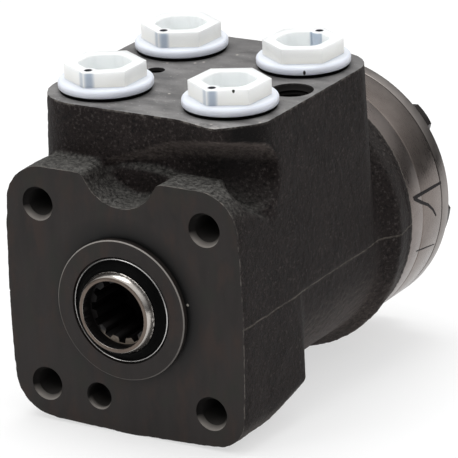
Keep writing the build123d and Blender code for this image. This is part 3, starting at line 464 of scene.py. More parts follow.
SKIN = cast_skin()
PORT_FACE = machined(
    "milled_port_face", (0.082, 0.080, 0.079), (0.215, 0.210, 0.207), pitch=0.4, roughness=0.5,
    direction=(0.15, 1, 1), fleck_share=0.9, shade=lighter_front, cloud_size=6.0,
    cloud_direction=(0.5, 1.2, 1))
MOUNT_FACE = machined(
    "milled_mounting_face", (0.0115, 0.0088, 0.0080), (0.0250, 0.0205, 0.0190), pitch=0.5, roughness=0.5,
    shade=rust_with_painted_ring_light, cloud_size=11.0, cloud_direction=(1.5, 1, 0.4))
TURNED_IRON = machined(
    "turned_iron", (0.040, 0.035, 0.033), (0.060, 0.054, 0.051), pitch=0.3, roughness=0.38,
    direction=(0.1, 1, 0.1))
# The tapped holes: mostly painted shade, with painted highlights at their mouths.
THREAD = machined(
    "cut_thread", (0.060, 0.056, 0.052), (0.125, 0.118, 0.110), pitch=0.4, roughness=0.5,
    shade=painted_hole_shade, gloss=0.04)
print("iron finishes:", SKIN.name, PORT_FACE.name, MOUNT_FACE.name, TURNED_IRON.name, THREAD.name)

# %% [markdown]
# ## The casting blank
# A foundry makes the rough shape, and a mill and a lathe cut it afterwards. The same order works
# here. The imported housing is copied, its holes are filled with bars, and the whole is remeshed into one
# skin. Smoothing rounds its edges as draft and sand do, and two sizes of displacement raise the grain.
# Places that will be machined stand proud first, so that every cut leaves a crisp edge.

# %% Copy the housing and fill its holes
def cad_copy(node, name):
    """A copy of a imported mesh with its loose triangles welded."""
    piece = bpy.data.objects.new(name, nodes[node].data.copy())
    bpy.context.scene.collection.objects.link(piece)
    only(piece)
    bpy.ops.object.mode_set(mode="EDIT")
    bpy.ops.mesh.select_all(action="SELECT")
    bpy.ops.mesh.remove_doubles(threshold=MM * 0.005)
    return done(piece)


COLUMN_CIRCLE_R = 41.25
COLUMN_HOLES = [polar(COLUMN_CIRCLE_R, 45 + 90 * i) for i in range(4)]
PEG_HOLE = (-10.5, -30.1)
SENSING_PORT = (30.95, 51.26)
GAUGE_HOLE = (-17.51, 52.05)
VOXEL = 0.85


def hole_fillers():
    """Closed bars and blocks that overlap the housing wherever it is bored."""
    bars = [
        rod("fill_seal", 25, (0, -3.2, 0), (0, 14, 0), 64),
        rod("fill_bore", 28, (0, 13, 0), (0, REAR_Y, 0), 64),
        rod("fill_rear", 41.6, (0, 99, 0), (0, REAR_Y, 0), 96),
        box("fill_block", (-34, 27, -20), (34, 86, 57)),
    ]
    for x, y, _ in PORTS.values():
        bars.append(rod("fill_port", 9.7, (x, y, 20), (x, y, PORT_FACE_Z), 48))
        bars.append(rod("fill_mouth", 11, (x, y, 55), (x, y, PORT_FACE_Z), 48))
    for x, z in COLUMN_HOLES:
        bars.append(rod("fill_bolt", 4.6, (x, 0, z), (x, 21, z), 32))
        bars.append(rod("fill_mouth", 5.6, (x, 0, z), (x, 3, z), 32))
    x, z = PEG_HOLE
    bars.append(rod("fill_peg", 5, (x, 0, z), (x, 12, z), 32))
    for radius, (x, y) in ((7.2, SENSING_PORT), (3.2, GAUGE_HOLE)):
        bars.append(rod("fill_small", radius, (x, y, 40), (x, y, PORT_FACE_Z), 32))
    return bars


casting = joined(cad_copy("housing", "casting"), *hole_fillers())
modifier(casting, "REMESH", mode="VOXEL", voxel_size=mm(VOXEL), adaptivity=0)
with_finish(casting, SKIN)
print("blank:", len(casting.data.polygons), "faces")

# %% [markdown]
# The remesh has closed every hole. Now all edges are eased, and the faces that will be cut are moved
# out by the machining allowance. Smoothing draws the rear rim in a little, so it is spread again.

# %% Ease the edges and leave a machining allowance
ALLOWANCE = 2.5
EASE_STEPS = 8
FACE_BAND = 0.9
RIM_BAND = 2.5
RIM_EASE = 1.006

modifier(casting, "SMOOTH", factor=0.5, iterations=EASE_STEPS)
pick(casting, lambda p: p.y < FACE_BAND)
bpy.ops.transform.translate(value=(0, -ALLOWANCE * MM, 0))
bpy.ops.object.mode_set(mode="OBJECT")
pick(casting, lambda p: p.z > PORT_FACE_Z - FACE_BAND)
bpy.ops.transform.translate(value=(0, 0, ALLOWANCE * MM))
bpy.ops.object.mode_set(mode="OBJECT")
pick(casting, lambda p: p.y > REAR_Y - FACE_BAND)
bpy.ops.transform.translate(value=(0, ALLOWANCE * MM, 0))
bpy.ops.object.mode_set(mode="OBJECT")
pick(casting, lambda p: p.y > REAR_Y - RIM_BAND)
bpy.ops.transform.resize(value=(RIM_EASE, 1, RIM_EASE), center_override=(0, 0, 0))
done(casting)
print("allowance:", ALLOWANCE, "mm on each machined face")

# %% [markdown]
# Sand grain is two things: a coarse unevenness that the hand can feel, and fine grains that only
# catch the light. The coarse part is real displacement from two cloud textures. The fine part stays in
# the finish.

# %% Sand skin
def roughen(piece, size, height):
    """Push the skin in and out by a cloud pattern; both values in millimetres."""
    pattern = bpy.data.textures.new("sand", type="CLOUDS")
    pattern.noise_scale = mm(size)
    pattern.noise_depth = 2
    modifier(piece, "DISPLACE", texture=pattern, strength=mm(height), mid_level=0.5,
             texture_coords="LOCAL")


roughen(casting, 9.0, 0.2)
roughen(casting, 1.9, 0.42)
print("skin roughened")

# %% [markdown]
# ## Parting flash
# The mould parts just below the height of the shaft. A thin fin of iron runs along that line, fettled
# almost flush. Three cuts give loops of points at the line, and the middle loop is raised.

# %% Raise the flash
FLASH_HALF = 0.42
FLASH_HEIGHT = 0.3

only(casting)
bpy.ops.object.mode_set(mode="EDIT")
for offset in (-FLASH_HALF, 0, FLASH_HALF):
    bpy.ops.mesh.select_all(action="SELECT")
    bpy.ops.mesh.bisect(plane_co=mm(0, 0, FLASH_Z + offset), plane_no=UP, threshold=mm(0.002))
bpy.ops.object.mode_set(mode="OBJECT")
raised = pick(casting, lambda p: abs(p.z - FLASH_Z) < 1e-3)
bpy.ops.transform.shrink_fatten(value=-mm(FLASH_HEIGHT))
done(casting)
print("flash points:", raised)

# %% [markdown]
# ## Machining the casting
# Two turned cutters do the work of the lathe. The first faces the front, leaves the pilot ring and
# bores the seal pocket. The second bores the long valve bore with its grooves and faces the rear.
# A block mills the port face. Each cutter carries the finish that it leaves behind, and the Boolean
# passes that finish to the cut faces.

# %% Lathe and mill
def cut(piece, cutter):
    """A machining cut that leaves the cutter's finish on the faces it makes."""
    modifier(piece, "BOOLEAN", object=cutter, operation="DIFFERENCE", solver="EXACT",
             material_mode="TRANSFER")
    bpy.data.objects.remove(cutter)


FACING = [
    (0, -15), (70, -15), (70, 0), (22.23, 0), (22.23, -1.88), (21.91, -2.2), (17.0, -2.2),
    (16.95, -2.15), (16.95, -1.0), (16.62, -0.9), (16.62, 4.1), (16.25, 4.1), (16.25, 8.3),
    (13.3, 8.3), (13.3, 9.98), (0, 9.98),
]
VALVE_BORE_R = 19.06
GROOVE_R = 23.0
GROOVE_HALF = 3.5
RING_GROOVE = (38.58, 40.42)
RING_GROOVE_DEPTH = 1.8
GROOVE_OF_PORT = {"front_left": 29.0, "front_right": 57.0, "rear_left": 67.0, "rear_right": 78.0}


def bore_outline():
    """The valve bore with its oil grooves and the rear face with the ring groove."""
    corners = [(0, 9.97), (VALVE_BORE_R, 9.97)]
    for y in GROOVE_OF_PORT.values():
        start, end = y - GROOVE_HALF, y + GROOVE_HALF
        corners += [(VALVE_BORE_R, start), (GROOVE_R, start), (GROOVE_R, end), (VALVE_BORE_R, end)]
    inner, outer = RING_GROOVE
    floor_y = REAR_Y - RING_GROOVE_DEPTH
    corners += [(VALVE_BORE_R, REAR_Y), (inner, REAR_Y), (inner, floor_y), (outer, floor_y)]
    corners += [(outer, REAR_Y), (60, REAR_Y), (60, 115), (0, 115)]
    return corners


cut(casting, with_finish(turned("facing", FACING, steps=128), MOUNT_FACE))
cut(casting, with_finish(turned("boring", bore_outline(), steps=144), TURNED_IRON))
cut(casting, with_finish(box("milling", (-60, 3, PORT_FACE_Z), (60, 101, 66)), PORT_FACE))
print("machined:", len(casting.data.polygons), "faces")

# %% [markdown]
# ## Tapped holes
# A tap leaves a V-shaped thread. At this size the helix can't be told from a stack of rings, and rings
# cut cleanly, so each hole is a turned cutter whose wall zigzags at the thread's pitch below a
# countersunk mouth. The floor is the cone that the drill leaves.

# %% Holes
THREAD_HEIGHT = 0.54
DRILL_CONE = 0.577


def tap_outline(radius, pitch, depth, mouth, sink):
    """Half outline of a tapped hole from 0 down to -depth, with a countersink of mouth by sink."""
    crest = radius + THREAD_HEIGHT * pitch
    corners = [(0, 3), (radius + mouth, 3), (radius + mouth, 0), (crest, -sink)]
    level = -sink - pitch * 0.6
    while level > -depth + 2.2 * pitch:
        corners += [(radius, level), (crest, level - pitch / 2)]
        level -= pitch
    corners += [(radius, level), (radius, -depth), (0, -depth - radius * DRILL_CONE)]
    return corners


def hole(name, outline, place, facing="Z", steps=48):
    """A turned cutter standing at a mouth that looks up (Z) or forward (Y)."""
    x, y, z = place
    if facing == "Z":
        return turned(name, outline, "Z", (x, y, z), steps)
    return turned(name, [(r, -a) for r, a in outline], "Y", (x, y, z), steps)


PORT_THREAD = tap_outline(radius=9.32, pitch=1.814, depth=16.0, mouth=1.3, sink=1.4)
CHECK_PORT = PORT_THREAD[:-1] + [(6.6, -16.0), (6.6, -28.0), (3.25, -28.0), (3.25, -34.4), (0, -34.4)]
SENSING_THREAD = tap_outline(radius=5.72, pitch=1.337, depth=13.0, mouth=1.05, sink=1.05)
GAUGE_THREAD = tap_outline(radius=2.5, pitch=1.0, depth=10.0, mouth=0.3, sink=0.3)
COLUMN_THREAD = tap_outline(radius=4.25, pitch=1.5, depth=18.0, mouth=1.15, sink=0.95)
PEG_OUTLINE = [(0, 3), (4.4, 3), (4.4, 0), (4.0, -0.4), (4.0, -9.0), (0, -11.3)]
PORT_FLOOR = 41.5
CHECK_FLOOR = 26.6


def port_cutters():
    """The four ports, the sensing port and the gauge hole, all from the port face."""
    cutters = []
    for name, (x, y, _) in PORTS.items():
        outline = CHECK_PORT if name == "rear_right" else PORT_THREAD
        cutters.append(hole("port", outline, (x, y, PORT_FACE_Z), steps=64))
    cutters.append(hole("sensing", SENSING_THREAD, (*SENSING_PORT, PORT_FACE_Z)))
    cutters.append(hole("gauge", GAUGE_THREAD, (*GAUGE_HOLE, PORT_FACE_Z), steps=32))
    return cutters


def face_cutters():
    """The column's holes and the peg hole from the front, and the cover bolts' holes from the rear."""
    cutters = [hole("column", COLUMN_THREAD, (x, 0, z), "Y", 40) for x, z in COLUMN_HOLES]
    cutters.append(hole("peg", PEG_OUTLINE, (PEG_HOLE[0], 0, PEG_HOLE[1]), "Y", 40))
    for angle in BOLT_ANGLES:
        x, z = polar(BOLT_CIRCLE_R, angle)
        cutters.append(rod("bolt_hole", 4.02, (x, 89.1, z), (x, 110, z), 24))
    return cutters


def oil_ways():
    """Slanted ways from the port floors to the grooves of the bore."""
    ways = []
    for name, (x, y, _) in PORTS.items():
        top = CHECK_FLOOR if name == "rear_right" else PORT_FLOOR
        groove = (math.copysign(11, x), GROOVE_OF_PORT[name], 15.7)
        ways.append(rod("oil_way", 4.5, (x, y, top), groove, 24))
    return ways


cut(casting, with_finish(joined(*port_cutters()), THREAD))
cut(casting, with_finish(joined(*face_cutters()), THREAD))
for way in oil_ways():
    cut(casting, with_finish(way, THREAD))
smoothed(casting, 38)
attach(casting, "housing")
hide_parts("housing")
triangles = sum(len(f.vertices) - 2 for f in casting.data.polygons)
print("casting:", triangles, "triangles,", [m.name for m in casting.data.materials])

# %% [markdown]
# ## Finishes of the other parts
# Ground discs show the fine rings of the stone, a polished shaft mirrors its surroundings through a
# thin film of oil, and blackened bolts are almost matt. Rubber takes its look from gloss, not colour.

# %% Steel, rubber and plastic
SEAM_OIL = (0.02, 0.016, 0.014)


def steel(name, dark, light, roughness, grain=0.6, direction=(1, 1, 1), metallic=1.0, bump=0.01,
          gloss=0.5, seams=()):
    """Worked metal, or a moulding with the same fine marks; oil darkens it beside each seam."""
    metal = Finish(name, Metallic=metallic, Specular_IOR_Level=gloss)
    cloud = metal.grain(12.0, 4.0, 0.6)
    marks = metal.grain(grain, 2.0, 0.5, direction)
    colour = metal.tone(metal.ramp(cloud, 0.3, 0.7), dark, light)
    for seam in seams:
        gap = metal.sums("ABSOLUTE", metal.sums("SUBTRACT", metal.axis("Y"), mm(seam)), 0.0)
        colour = metal.tone(metal.band(gap, 0.42, 0.25, 0, 0.8), colour, SEAM_OIL)
    blend = metal.ramp(metal.sums("ADD", cloud, marks), 0.6, 1.4, roughness - 0.08, roughness + 0.1)
    return metal.end(colour, blend, marks, bump, 0.6)


RINGS = (0.25, 1, 0.25)
FINISHES = {
    "plate_steel": steel("ground_plate", (0.165, 0.140, 0.130), (0.245, 0.215, 0.200), 0.3, 0.5,
                         RINGS, seams=(REAR_Y,)),
    "ring_steel": steel("ground_ring", (0.155, 0.130, 0.118), (0.235, 0.203, 0.186), 0.28, 0.5,
                        RINGS, seams=(COVER_Y,)),
    "cover_steel": steel("ground_cover", (0.195, 0.175, 0.165), (0.29, 0.265, 0.25), 0.32, 0.5,
                         RINGS, seams=(COVER_Y,)),
    "ground_steel": steel("ground_steel", (0.40, 0.39, 0.37), (0.52, 0.50, 0.48), 0.26, 0.5),
    "polished_steel": steel("polished_spool", (0.38, 0.355, 0.33), (0.52, 0.49, 0.46), 0.2, 0.4,
                            (0.04, 1, 0.04), bump=0.0005),
    "bolt_steel": steel("blackened_bolt", (0.014, 0.011, 0.010), (0.030, 0.024, 0.022), 0.42, 0.7,
                        metallic=0.6),
    "washer_steel": steel("washer_steel", (0.16, 0.155, 0.15), (0.26, 0.25, 0.24), 0.4, 0.6),
    "cage_steel": steel("bearing_cage_steel", (0.36, 0.34, 0.30), (0.48, 0.45, 0.41), 0.34),
    "spring_steel": steel("blued_spring", (0.16, 0.18, 0.24), (0.26, 0.28, 0.34), 0.25),
    "seal_case": steel("seal_case_steel", (0.42, 0.41, 0.40), (0.56, 0.55, 0.54), 0.28),
    "seal_plastic": steel("filled_seal_plastic", (0.20, 0.17, 0.12), (0.28, 0.24, 0.18), 0.5,
                          metallic=0.0),
    "black_rubber": steel("moulded_rubber", (0.0015, 0.0015, 0.0015), (0.003, 0.003, 0.003), 0.5, 1.2,
                          metallic=0.0, bump=0.02, gloss=0.03),
}
slots = {row["node"]: row["material_slot"] for row in frame["record"]["subparts"]}
for name, node in nodes.items():
    if slots[name] in FINISHES:
        with_finish(node, FINISHES[slots[name]])
print("finishes:", len(FINISHES))

# %% [markdown]
# ## Port plugs
# Each plug keeps dirt out of a port until the hoses are fitted. It is moulded in natural polyethylene:
# a flange, a hexagon for a key, a recess that saves material and a round hole near one corner, left by a
# pin of the mould. The wall there is thin enough for the hole to show through it as a grey stripe.

# %% Model one plug
PLUG_HEX_AF = 21.8
PLUG_HEIGHT = 7.45
PLUG_RECESS_AF = 15.4
PLUG_RECESS_CORNER_R = 4.0
PLUG_FLOOR = 2.0
FLANGE_TOP = 2.6
PIN_RADIUS = 1.1
PIN_PITCH_R = 9.6
BOSS_R = 2.5
PLUG_OUTLINE = [
    (0, -0.8), (7.5, -0.8), (7.5, -10.8), (7.75, -11.05), (8.8, -11.05), (9.1, -10.75), (9.1, 0),
    (14.2, 0), (14.5, 0.13), (14.68, 0.42), (14.7, 1.7), (14.55, 2.1), (14.25, 2.42),
    (13.8, FLANGE_TOP), (0, FLANGE_TOP),
]


def hexagon(name, across, low, high):
    """A hexagonal bar with corners towards +Y and -Y."""
    bpy.ops.object.select_all(action="DESELECT")
    bpy.ops.mesh.primitive_cylinder_add(vertices=6, radius=mm(across / math.sqrt(3)), depth=mm(high - low),
                                        location=mm(0, 0, (low + high) / 2))
    bpy.context.object.name = name
    bpy.ops.object.transform_apply(location=True, rotation=True, scale=True)
    return bpy.context.object


def upright(a, b):
    """Whether an edge stands along Z."""
    return (a - b).xy.length < 1e-3


def plug_recess():
    """The recess with rounded corners, less the boss that carries the pin hole."""
    pocket = hexagon("recess", PLUG_RECESS_AF, PLUG_FLOOR, PLUG_HEIGHT + 1)
    pick(pocket, upright, "EDGE")
    reach = PLUG_RECESS_CORNER_R * math.tan(math.radians(30))
    bpy.ops.mesh.bevel(offset=mm(reach), segments=8)
    done(pocket)
    boss = rod("boss", BOSS_R, (0, -PIN_PITCH_R, 0), (0, -PIN_PITCH_R, PLUG_HEIGHT + 2), 40)
    return carve(pocket, boss)


def plug_blank():
    """One plug at the origin, seated at height 0 with its pin hole towards -Y."""
    plug = turned("plug", PLUG_OUTLINE, "Z", steps=96)
    carve(plug, hexagon("key", PLUG_HEX_AF, FLANGE_TOP - 0.5, PLUG_HEIGHT), "UNION")
    carve(plug, plug_recess())
    pin = rod("pin", PIN_RADIUS, (0, -PIN_PITCH_R, 1.3), (0, -PIN_PITCH_R, PLUG_HEIGHT + 1), 32)
    carve(plug, pin)
    modifier(plug, "BEVEL", width=mm(0.28), segments=3, limit_method="ANGLE",
             angle_limit=math.radians(35))
    return smoothed(plug, 40)


plug = plug_blank()
print("plug:", len(plug.data.polygons), "faces")

# %% [markdown]
# The flange is painted with the blue of the sky light, and the hexagon with the warm light that has passed
# through the plastic. Two plugs carry a fleck of grit.

# %% Finish and place four plugs
# NO_GRIT lies inside the casting, far from any plug.
GRIT = {"rear_right": (29.28, 62.25, 59.84), "front_right": (28.41, 21.16, 66.05)}
NO_GRIT = (0, 0, 0)


def polyethylene(name, x, y, turn):
    """Milky plastic with painted light: level tops darker than walls, the hexagon whiter towards its top, a
    painted grey stripe where the pin hole shows through the thin wall, and painted shade in the hole.
    """
    milk = Finish("polyethylene_" + name, Roughness=0.38, Specular_IOR_Level=0.3,
                  Subsurface_Weight=0.75, Subsurface_Scale=mm(3.5), Subsurface_Radius=(1, 1, 1))
    pin = polar(PIN_PITCH_R, turn)
    axis_point = (x + pin[0], y + pin[1], 0)
    height = milk.axis("Z")
    cloud = milk.grain(7.0, 3.0)
    seat = PLUG_SEAT_Z
    # Painted light: the hexagon is painted whiter towards its top, and level tops darker than the walls.
    level_top = milk.ramp(milk.upward(), 0.5, 0.95)
    hex_lit_tone = milk.tone(milk.band(height, seat + 3, seat + 7), (0.87, 0.86, 0.82), (0.90, 0.91, 0.90))
    hex_lit_tone = milk.tone(level_top, hex_lit_tone, (0.77, 0.79, 0.79))
    flange = milk.tone(level_top, (0.76, 0.79, 0.88), (0.64, 0.69, 0.80))
    body = milk.tone(milk.band(height, seat + 2.45, seat + 2.8), flange, hex_lit_tone)
    body = milk.tone(milk.ramp(cloud, 0.3, 0.7, 0, 0.10), body, (0.76, 0.78, 0.82))
    recess = milk.times(milk.band(milk.away((x, y, 0), (1, 1, 0)), 9.0, 8.2),
                        milk.band(height, seat + 7.3, seat + 6.9))
    body = milk.tone(recess, body, (0.80, 0.82, 0.82))
    # A painted grey stripe where the pin hole shows through the thin wall.
    thin_point = polar(PIN_PITCH_R, turn + 1.2)
    thin = milk.band(milk.away((x + thin_point[0], y + thin_point[1], 0), (1, 1, 0)), 3.1, 2.55)
    below = milk.band(height, seat + 7.35, seat + 7.0)
    above = milk.band(height, seat + 2.4, seat + 2.7)
    stripe = milk.times(thin, below, above)
    body = milk.tone(milk.times(stripe, 0.8), body, (0.33, 0.40, 0.50))
    # Painted shade inside the pin hole.
    inside = milk.band(milk.away(axis_point, (1, 1, 0)), 1.4, 1.15)
    body = milk.tone(inside, body, (0.05, 0.05, 0.06))
    speck = milk.band(milk.away(GRIT.get(name, NO_GRIT), (1, 1, 0.6)), 0.5, 0.35)
    body = milk.tone(speck, body, (0.02, 0.02, 0.015))
    return milk.end(body, milk.ramp(cloud, 0.3, 0.7, 0.32, 0.46), cloud, 0.05, 0.3)


for name, (x, y, turn) in PORTS.items():
    only(plug)
    bpy.ops.object.duplicate(linked=False)
    copy = bpy.context.object
    copy.name = name + "_plug_moulding"
    copy.rotation_euler = (0, 0, math.radians(turn + 90))
    copy.location = mm(x, y, PLUG_SEAT_Z)
    bpy.ops.object.transform_apply(location=True, rotation=True, scale=True)
    with_finish(copy, polyethylene(name, x, y, turn))
    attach(copy, name + "_plug")
    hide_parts(name + "_plug")
bpy.data.objects.remove(plug)
print("plugs placed:", len(PORTS))

# %% [markdown]
# ## Dust seal
# A pressed steel case is driven into the pocket, with rubber moulded inside it. The lip leans out
# against the polished nose and wipes it clean.

# %% Case and lip
CASE_OUTLINE = [
    (15.92, 4.1), (15.92, -1.8), (16.0, -2.02), (16.14, -2.1), (16.3, -2.04), (16.45, -1.8),
    (16.56, -1.3), (16.56, 4.1),
]
LIP_OUTLINE = [
    (15.9, 4.1), (15.9, -1.5), (15.6, -1.62), (15.2, -1.72), (14.75, -2.05), (14.3, -2.65), (13.9, -3.3),
    (13.55, -3.75), (13.3, -3.9), (13.12, -3.82), (13.06, -3.6), (13.1, -3.3), (13.5, -2.6), (14.0, -1.7),
    (14.4, -0.6), (14.45, 4.1),
]


def seal_part(name, outline, slot, node):
    """A turned ring of the seal, put in the place of its packed one."""
    piece = turned(name, outline, steps=128, closed=True)
    with_finish(smoothed(piece, 50), FINISHES[slot])
    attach(piece, "housing")
    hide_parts(node)


seal_part("dust_seal_shell", CASE_OUTLINE, "seal_case", "dust_seal_case")
seal_part("dust_seal_rubber", LIP_OUTLINE, "black_rubber", "dust_seal_lip")
print("dust seal made")

# %% [markdown]
# ## Edges of the ground parts
# A ground disc has its sharp edges broken with a stone, and that narrow bright line is what makes steel
# look like steel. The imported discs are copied, their flat faces are cleaned of loose triangles, and each
# edge gets a small bevel.

# %% Break the edges
LOOSE_ANGLE = math.radians(0.5)


def broken_edges(node, name, width, body="housing"):
    """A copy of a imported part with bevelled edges, put in its place."""
    piece = cad_copy(node, name)
    modifier(piece, "DECIMATE", decimate_type="DISSOLVE", angle_limit=LOOSE_ANGLE)
    modifier(piece, "BEVEL", width=mm(width), segments=2, limit_method="ANGLE",
             angle_limit=math.radians(30))
    with_finish(smoothed(piece, 35), FINISHES[slots[node]])
    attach(piece, body)
    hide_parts(node)
    return piece


broken_edges("distributor_plate", "plate_disc", 0.12)
broken_edges("gear_ring", "ring_disc", 0.12)
broken_edges("end_cover", "cover_disc", 0.3)
broken_edges("cover_bolts", "cover_bolt_heads", 0.12)
broken_edges("bolt_washers", "cover_bolt_washers", 0.15)
print("edges broken on five parts")

# %% [markdown]
# The nose of the spool is rounded on a lathe so that the seal's lip slides over it. The tool's shape is
# drawn as two short curves, one outside and one at the mouth of the bore. It is then spun into a cutter.

# %% Round the nose
NOSE_Y = -6.57
NOSE_LENGTH = 2.19
NOSE_FOOT_R = 12.90
NOSE_R = 12.2
MOUTH_R = 10.7


def curve(start, corner, end, steps=8):
    """Corners along a soft bend from start to end that leans towards a corner."""
    bend = []
    for i in range(steps + 1):
        t = i / steps
        bend.append(tuple((1 - t) ** 2 * a + 2 * t * (1 - t) * b + t * t * c
                          for a, b, c in zip(start, corner, end)))
    return bend


foot_y = NOSE_Y + NOSE_LENGTH
outside = curve((NOSE_FOOT_R, foot_y), (NOSE_R, NOSE_Y), (NOSE_R - 0.75, NOSE_Y), 10)
inside = curve((MOUTH_R + 0.36, NOSE_Y), (MOUTH_R, NOSE_Y), (MOUTH_R, NOSE_Y + 0.4))
tool_outline = [(0, -10), (16, -10), (16, foot_y), *outside, *inside, (0, NOSE_Y + 0.4)]
tool = turned("nose_tool", tool_outline, steps=96)
spool = cad_copy("spool", "spool_nose")
modifier(spool, "DECIMATE", decimate_type="DISSOLVE", angle_limit=LOOSE_ANGLE)
carve(spool, tool)
with_finish(smoothed(spool, 15), FINISHES[slots["spool"]])
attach(spool, "spool")
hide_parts("spool")
print("nose:", len(spool.data.polygons), "faces")

# %% [markdown]
# The spool is polished only outside. Its bore is painted black as shade, and the ends of the lower spline
# teeth are painted lighter where light reaches them. The nose's end is turned.

# %% Bore of the spool
def tooth_end():
    """The lower teeth get a painted light; painted shade darkens the rest."""
    end = Finish("tooth_end", Specular_IOR_Level=0.3, Roughness=0.45)
    tooth_grain = end.grain(1.0, 3.0)
    low = end.band(end.axis("Z"), -7.0, -8.8)
    lit_teeth = end.tone(tooth_grain, (0.14, 0.115, 0.09), (0.24, 0.20, 0.165))
    return end.end(end.tone(low, (0.006, 0.005, 0.005), lit_teeth), None, tooth_grain, 0.02, 0.4)


# Painted shade inside the spool's bore.
BORE_BLACK = steel("shaded_bore", (0.003, 0.0028, 0.0028), (0.007, 0.006, 0.006), 0.55, 0.8,
                   metallic=0.0, gloss=0.1)
NOSE_END = steel("turned_nose_end", (0.12, 0.095, 0.08), (0.19, 0.155, 0.13), 0.4, 0.4)
SPOOL_BORE_REACH = 12.0
BORE_FRONT_Y = -6.0
TEETH_FRONT_Y = 10
NOSE_END_Y = -6.1
FORWARD = -0.7


def in_bore(centre, normal):
    """Faces inside the spool, behind its mouth."""
    return math.hypot(centre.x, centre.z) < SPOOL_BORE_REACH and centre.y > BORE_FRONT_Y


def on_tooth_end(centre, normal):
    """The forward ends of the spline teeth."""
    return in_bore(centre, normal) and normal.y < FORWARD and centre.y < TEETH_FRONT_Y


def on_nose_end(centre, normal):
    """The flat end of the nose."""
    return centre.y < NOSE_END_Y and normal.y < FORWARD


def paint(piece, test, material):
    """Give the faces that pass the test their own finish."""
    piece.data.materials.append(material)
    pick(piece, test, "FACE")
    piece.active_material_index = len(piece.data.materials) - 1
    bpy.ops.object.material_slot_assign()
    done(piece)


paint(spool, in_bore, BORE_BLACK)
paint(spool, on_tooth_end, tooth_end())
paint(spool, on_nose_end, NOSE_END)
print("spool finishes:", [m.name for m in spool.data.materials])

# %% [markdown]
# ## Marks of a felt pen
# An inspector has ticked the stack with a felt pen. Each stroke is a strip of dried ink: a flat grid
# whose rows are laid round the discs along the stroke, then given a thickness thinner than paper.

# %% Pen strokes
INK_LIFT = 0.02
INK_THICKNESS = 0.03

# The path of each stroke, as y and the angle round the shaft.
TICK = [(125.6, 8.65), (119.3, 8.9), (113.0, 9.15), (107.0, 9.4), (109.4, 7.4), (111.8, 5.45), (115.7, 2.8),
        (118.9, -0.75), (121.2, -4.6)]
DASH = [(110.3, -16.6), (117.4, -18.2), (124.0, -19.7)]


def along(path, share):
    """The place at a share of the way through a list of (y, angle) points."""
    reach = share * (len(path) - 1)
    i = min(int(reach), len(path) - 2)
    return Vector(path[i]).lerp(Vector(path[i + 1]), reach - i)


def stroke(name, path, width, rows=48):
    """Lay a strip of ink on the discs."""
    bpy.ops.object.select_all(action="DESELECT")
    bpy.ops.mesh.primitive_grid_add(x_subdivisions=rows, y_subdivisions=2, size=2)
    piece = bpy.context.object
    piece.name = name
    for vertex in piece.data.vertices:
        share = (vertex.co.x + 1) / 2
        here = along(path, share)
        step = along(path, min(1, share + 0.02)) - along(path, max(0, share - 0.02))
        step.y *= math.radians(STACK_R)
        side = Vector((-step.y, step.x)).normalized() * vertex.co.y * width / 2
        taper = math.sin(math.pi * min(1, 0.25 + share * 0.6))
        y = here.x + side.x * taper
        x, z = polar(STACK_R + INK_LIFT, here.y + math.degrees(side.y * taper / STACK_R))
        vertex.co = mm(x, y, z)
    modifier(piece, "SOLIDIFY", thickness=mm(INK_THICKNESS), offset=1)
    only(piece)
    bpy.ops.object.mode_set(mode="EDIT")
    bpy.ops.mesh.select_all(action="SELECT")
    bpy.ops.mesh.normals_make_consistent(inside=False)
    done(piece)
    return smoothed(piece, 60)


def ink():
    """Dull black ink with a few streaks."""
    pen = Finish("felt_pen_ink", Specular_IOR_Level=0.1)
    streak = pen.grain(0.7, 3.0)
    colour = pen.tone(streak, (0.006, 0.005, 0.006), (0.020, 0.016, 0.018))
    return pen.end(colour, pen.ramp(streak, 0.3, 0.7, 0.4, 0.6))


INK = ink()
STROKES = (("pen_tick", TICK, 1.2), ("pen_dash", DASH, 0.5))
for name, path, width in STROKES:
    mark = with_finish(stroke(name, path, width), INK)
    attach(mark, "housing")
print("pen strokes:", len(STROKES))

# %% [markdown]
# ## Floor, light and camera
# The unit rests on the rim of its barrel and the lower edge of its flange, so the floor under it
# leans a little. A wide lamp overhead and a smaller one in front stand for softboxes, and the world
# fills the shadows. The camera is far off to the front right and above, with a long lens.

# %% Floor and world
# The feet are y and z of the two lines that the unit stands on; FLOOR_SIZE is in metres.
FRONT_FOOT = (0, -41.0)
REAR_FOOT = (92.6, -45.0)
FLOOR_GAP = 0.05
FLOOR_SIZE = 6
FLOOR_GLOW = 0.6


def pale_floor():
    """White paper. Seen directly or in a reflection it is partly its own light, so its shadow stays soft."""
    paper = Finish("pale_floor", Roughness=0.8, Specular_IOR_Level=0.1)
    fibre = paper.grain(30.0, 3.0)
    path = paper.node("ShaderNodeLightPath").outputs
    watched = paper.sums("MAXIMUM", paper.sums("MAXIMUM", path["Is Camera Ray"], path["Is Glossy Ray"]),
                         path["Is Transmission Ray"])
    white = paper.tone(fibre, (0.92, 0.92, 0.92), (0.95, 0.95, 0.95))
    colour = paper.tone(watched, (0.75, 0.75, 0.75), white)
    paper.end(colour, None, fibre, 0.02, 0.2)
    glow = paper.node("ShaderNodeEmission", {"Color": (1, 1, 1, 1), "Strength": 1.0})
    share = paper.times(watched, FLOOR_GLOW)
    mix = paper.node("ShaderNodeMixShader", {0: share, 1: paper.shader.outputs[0], 2: glow.outputs[0]})
    paper.tree.links.new(mix.outputs[0], paper.tree.nodes["Material Output"].inputs["Surface"])
    return paper.material


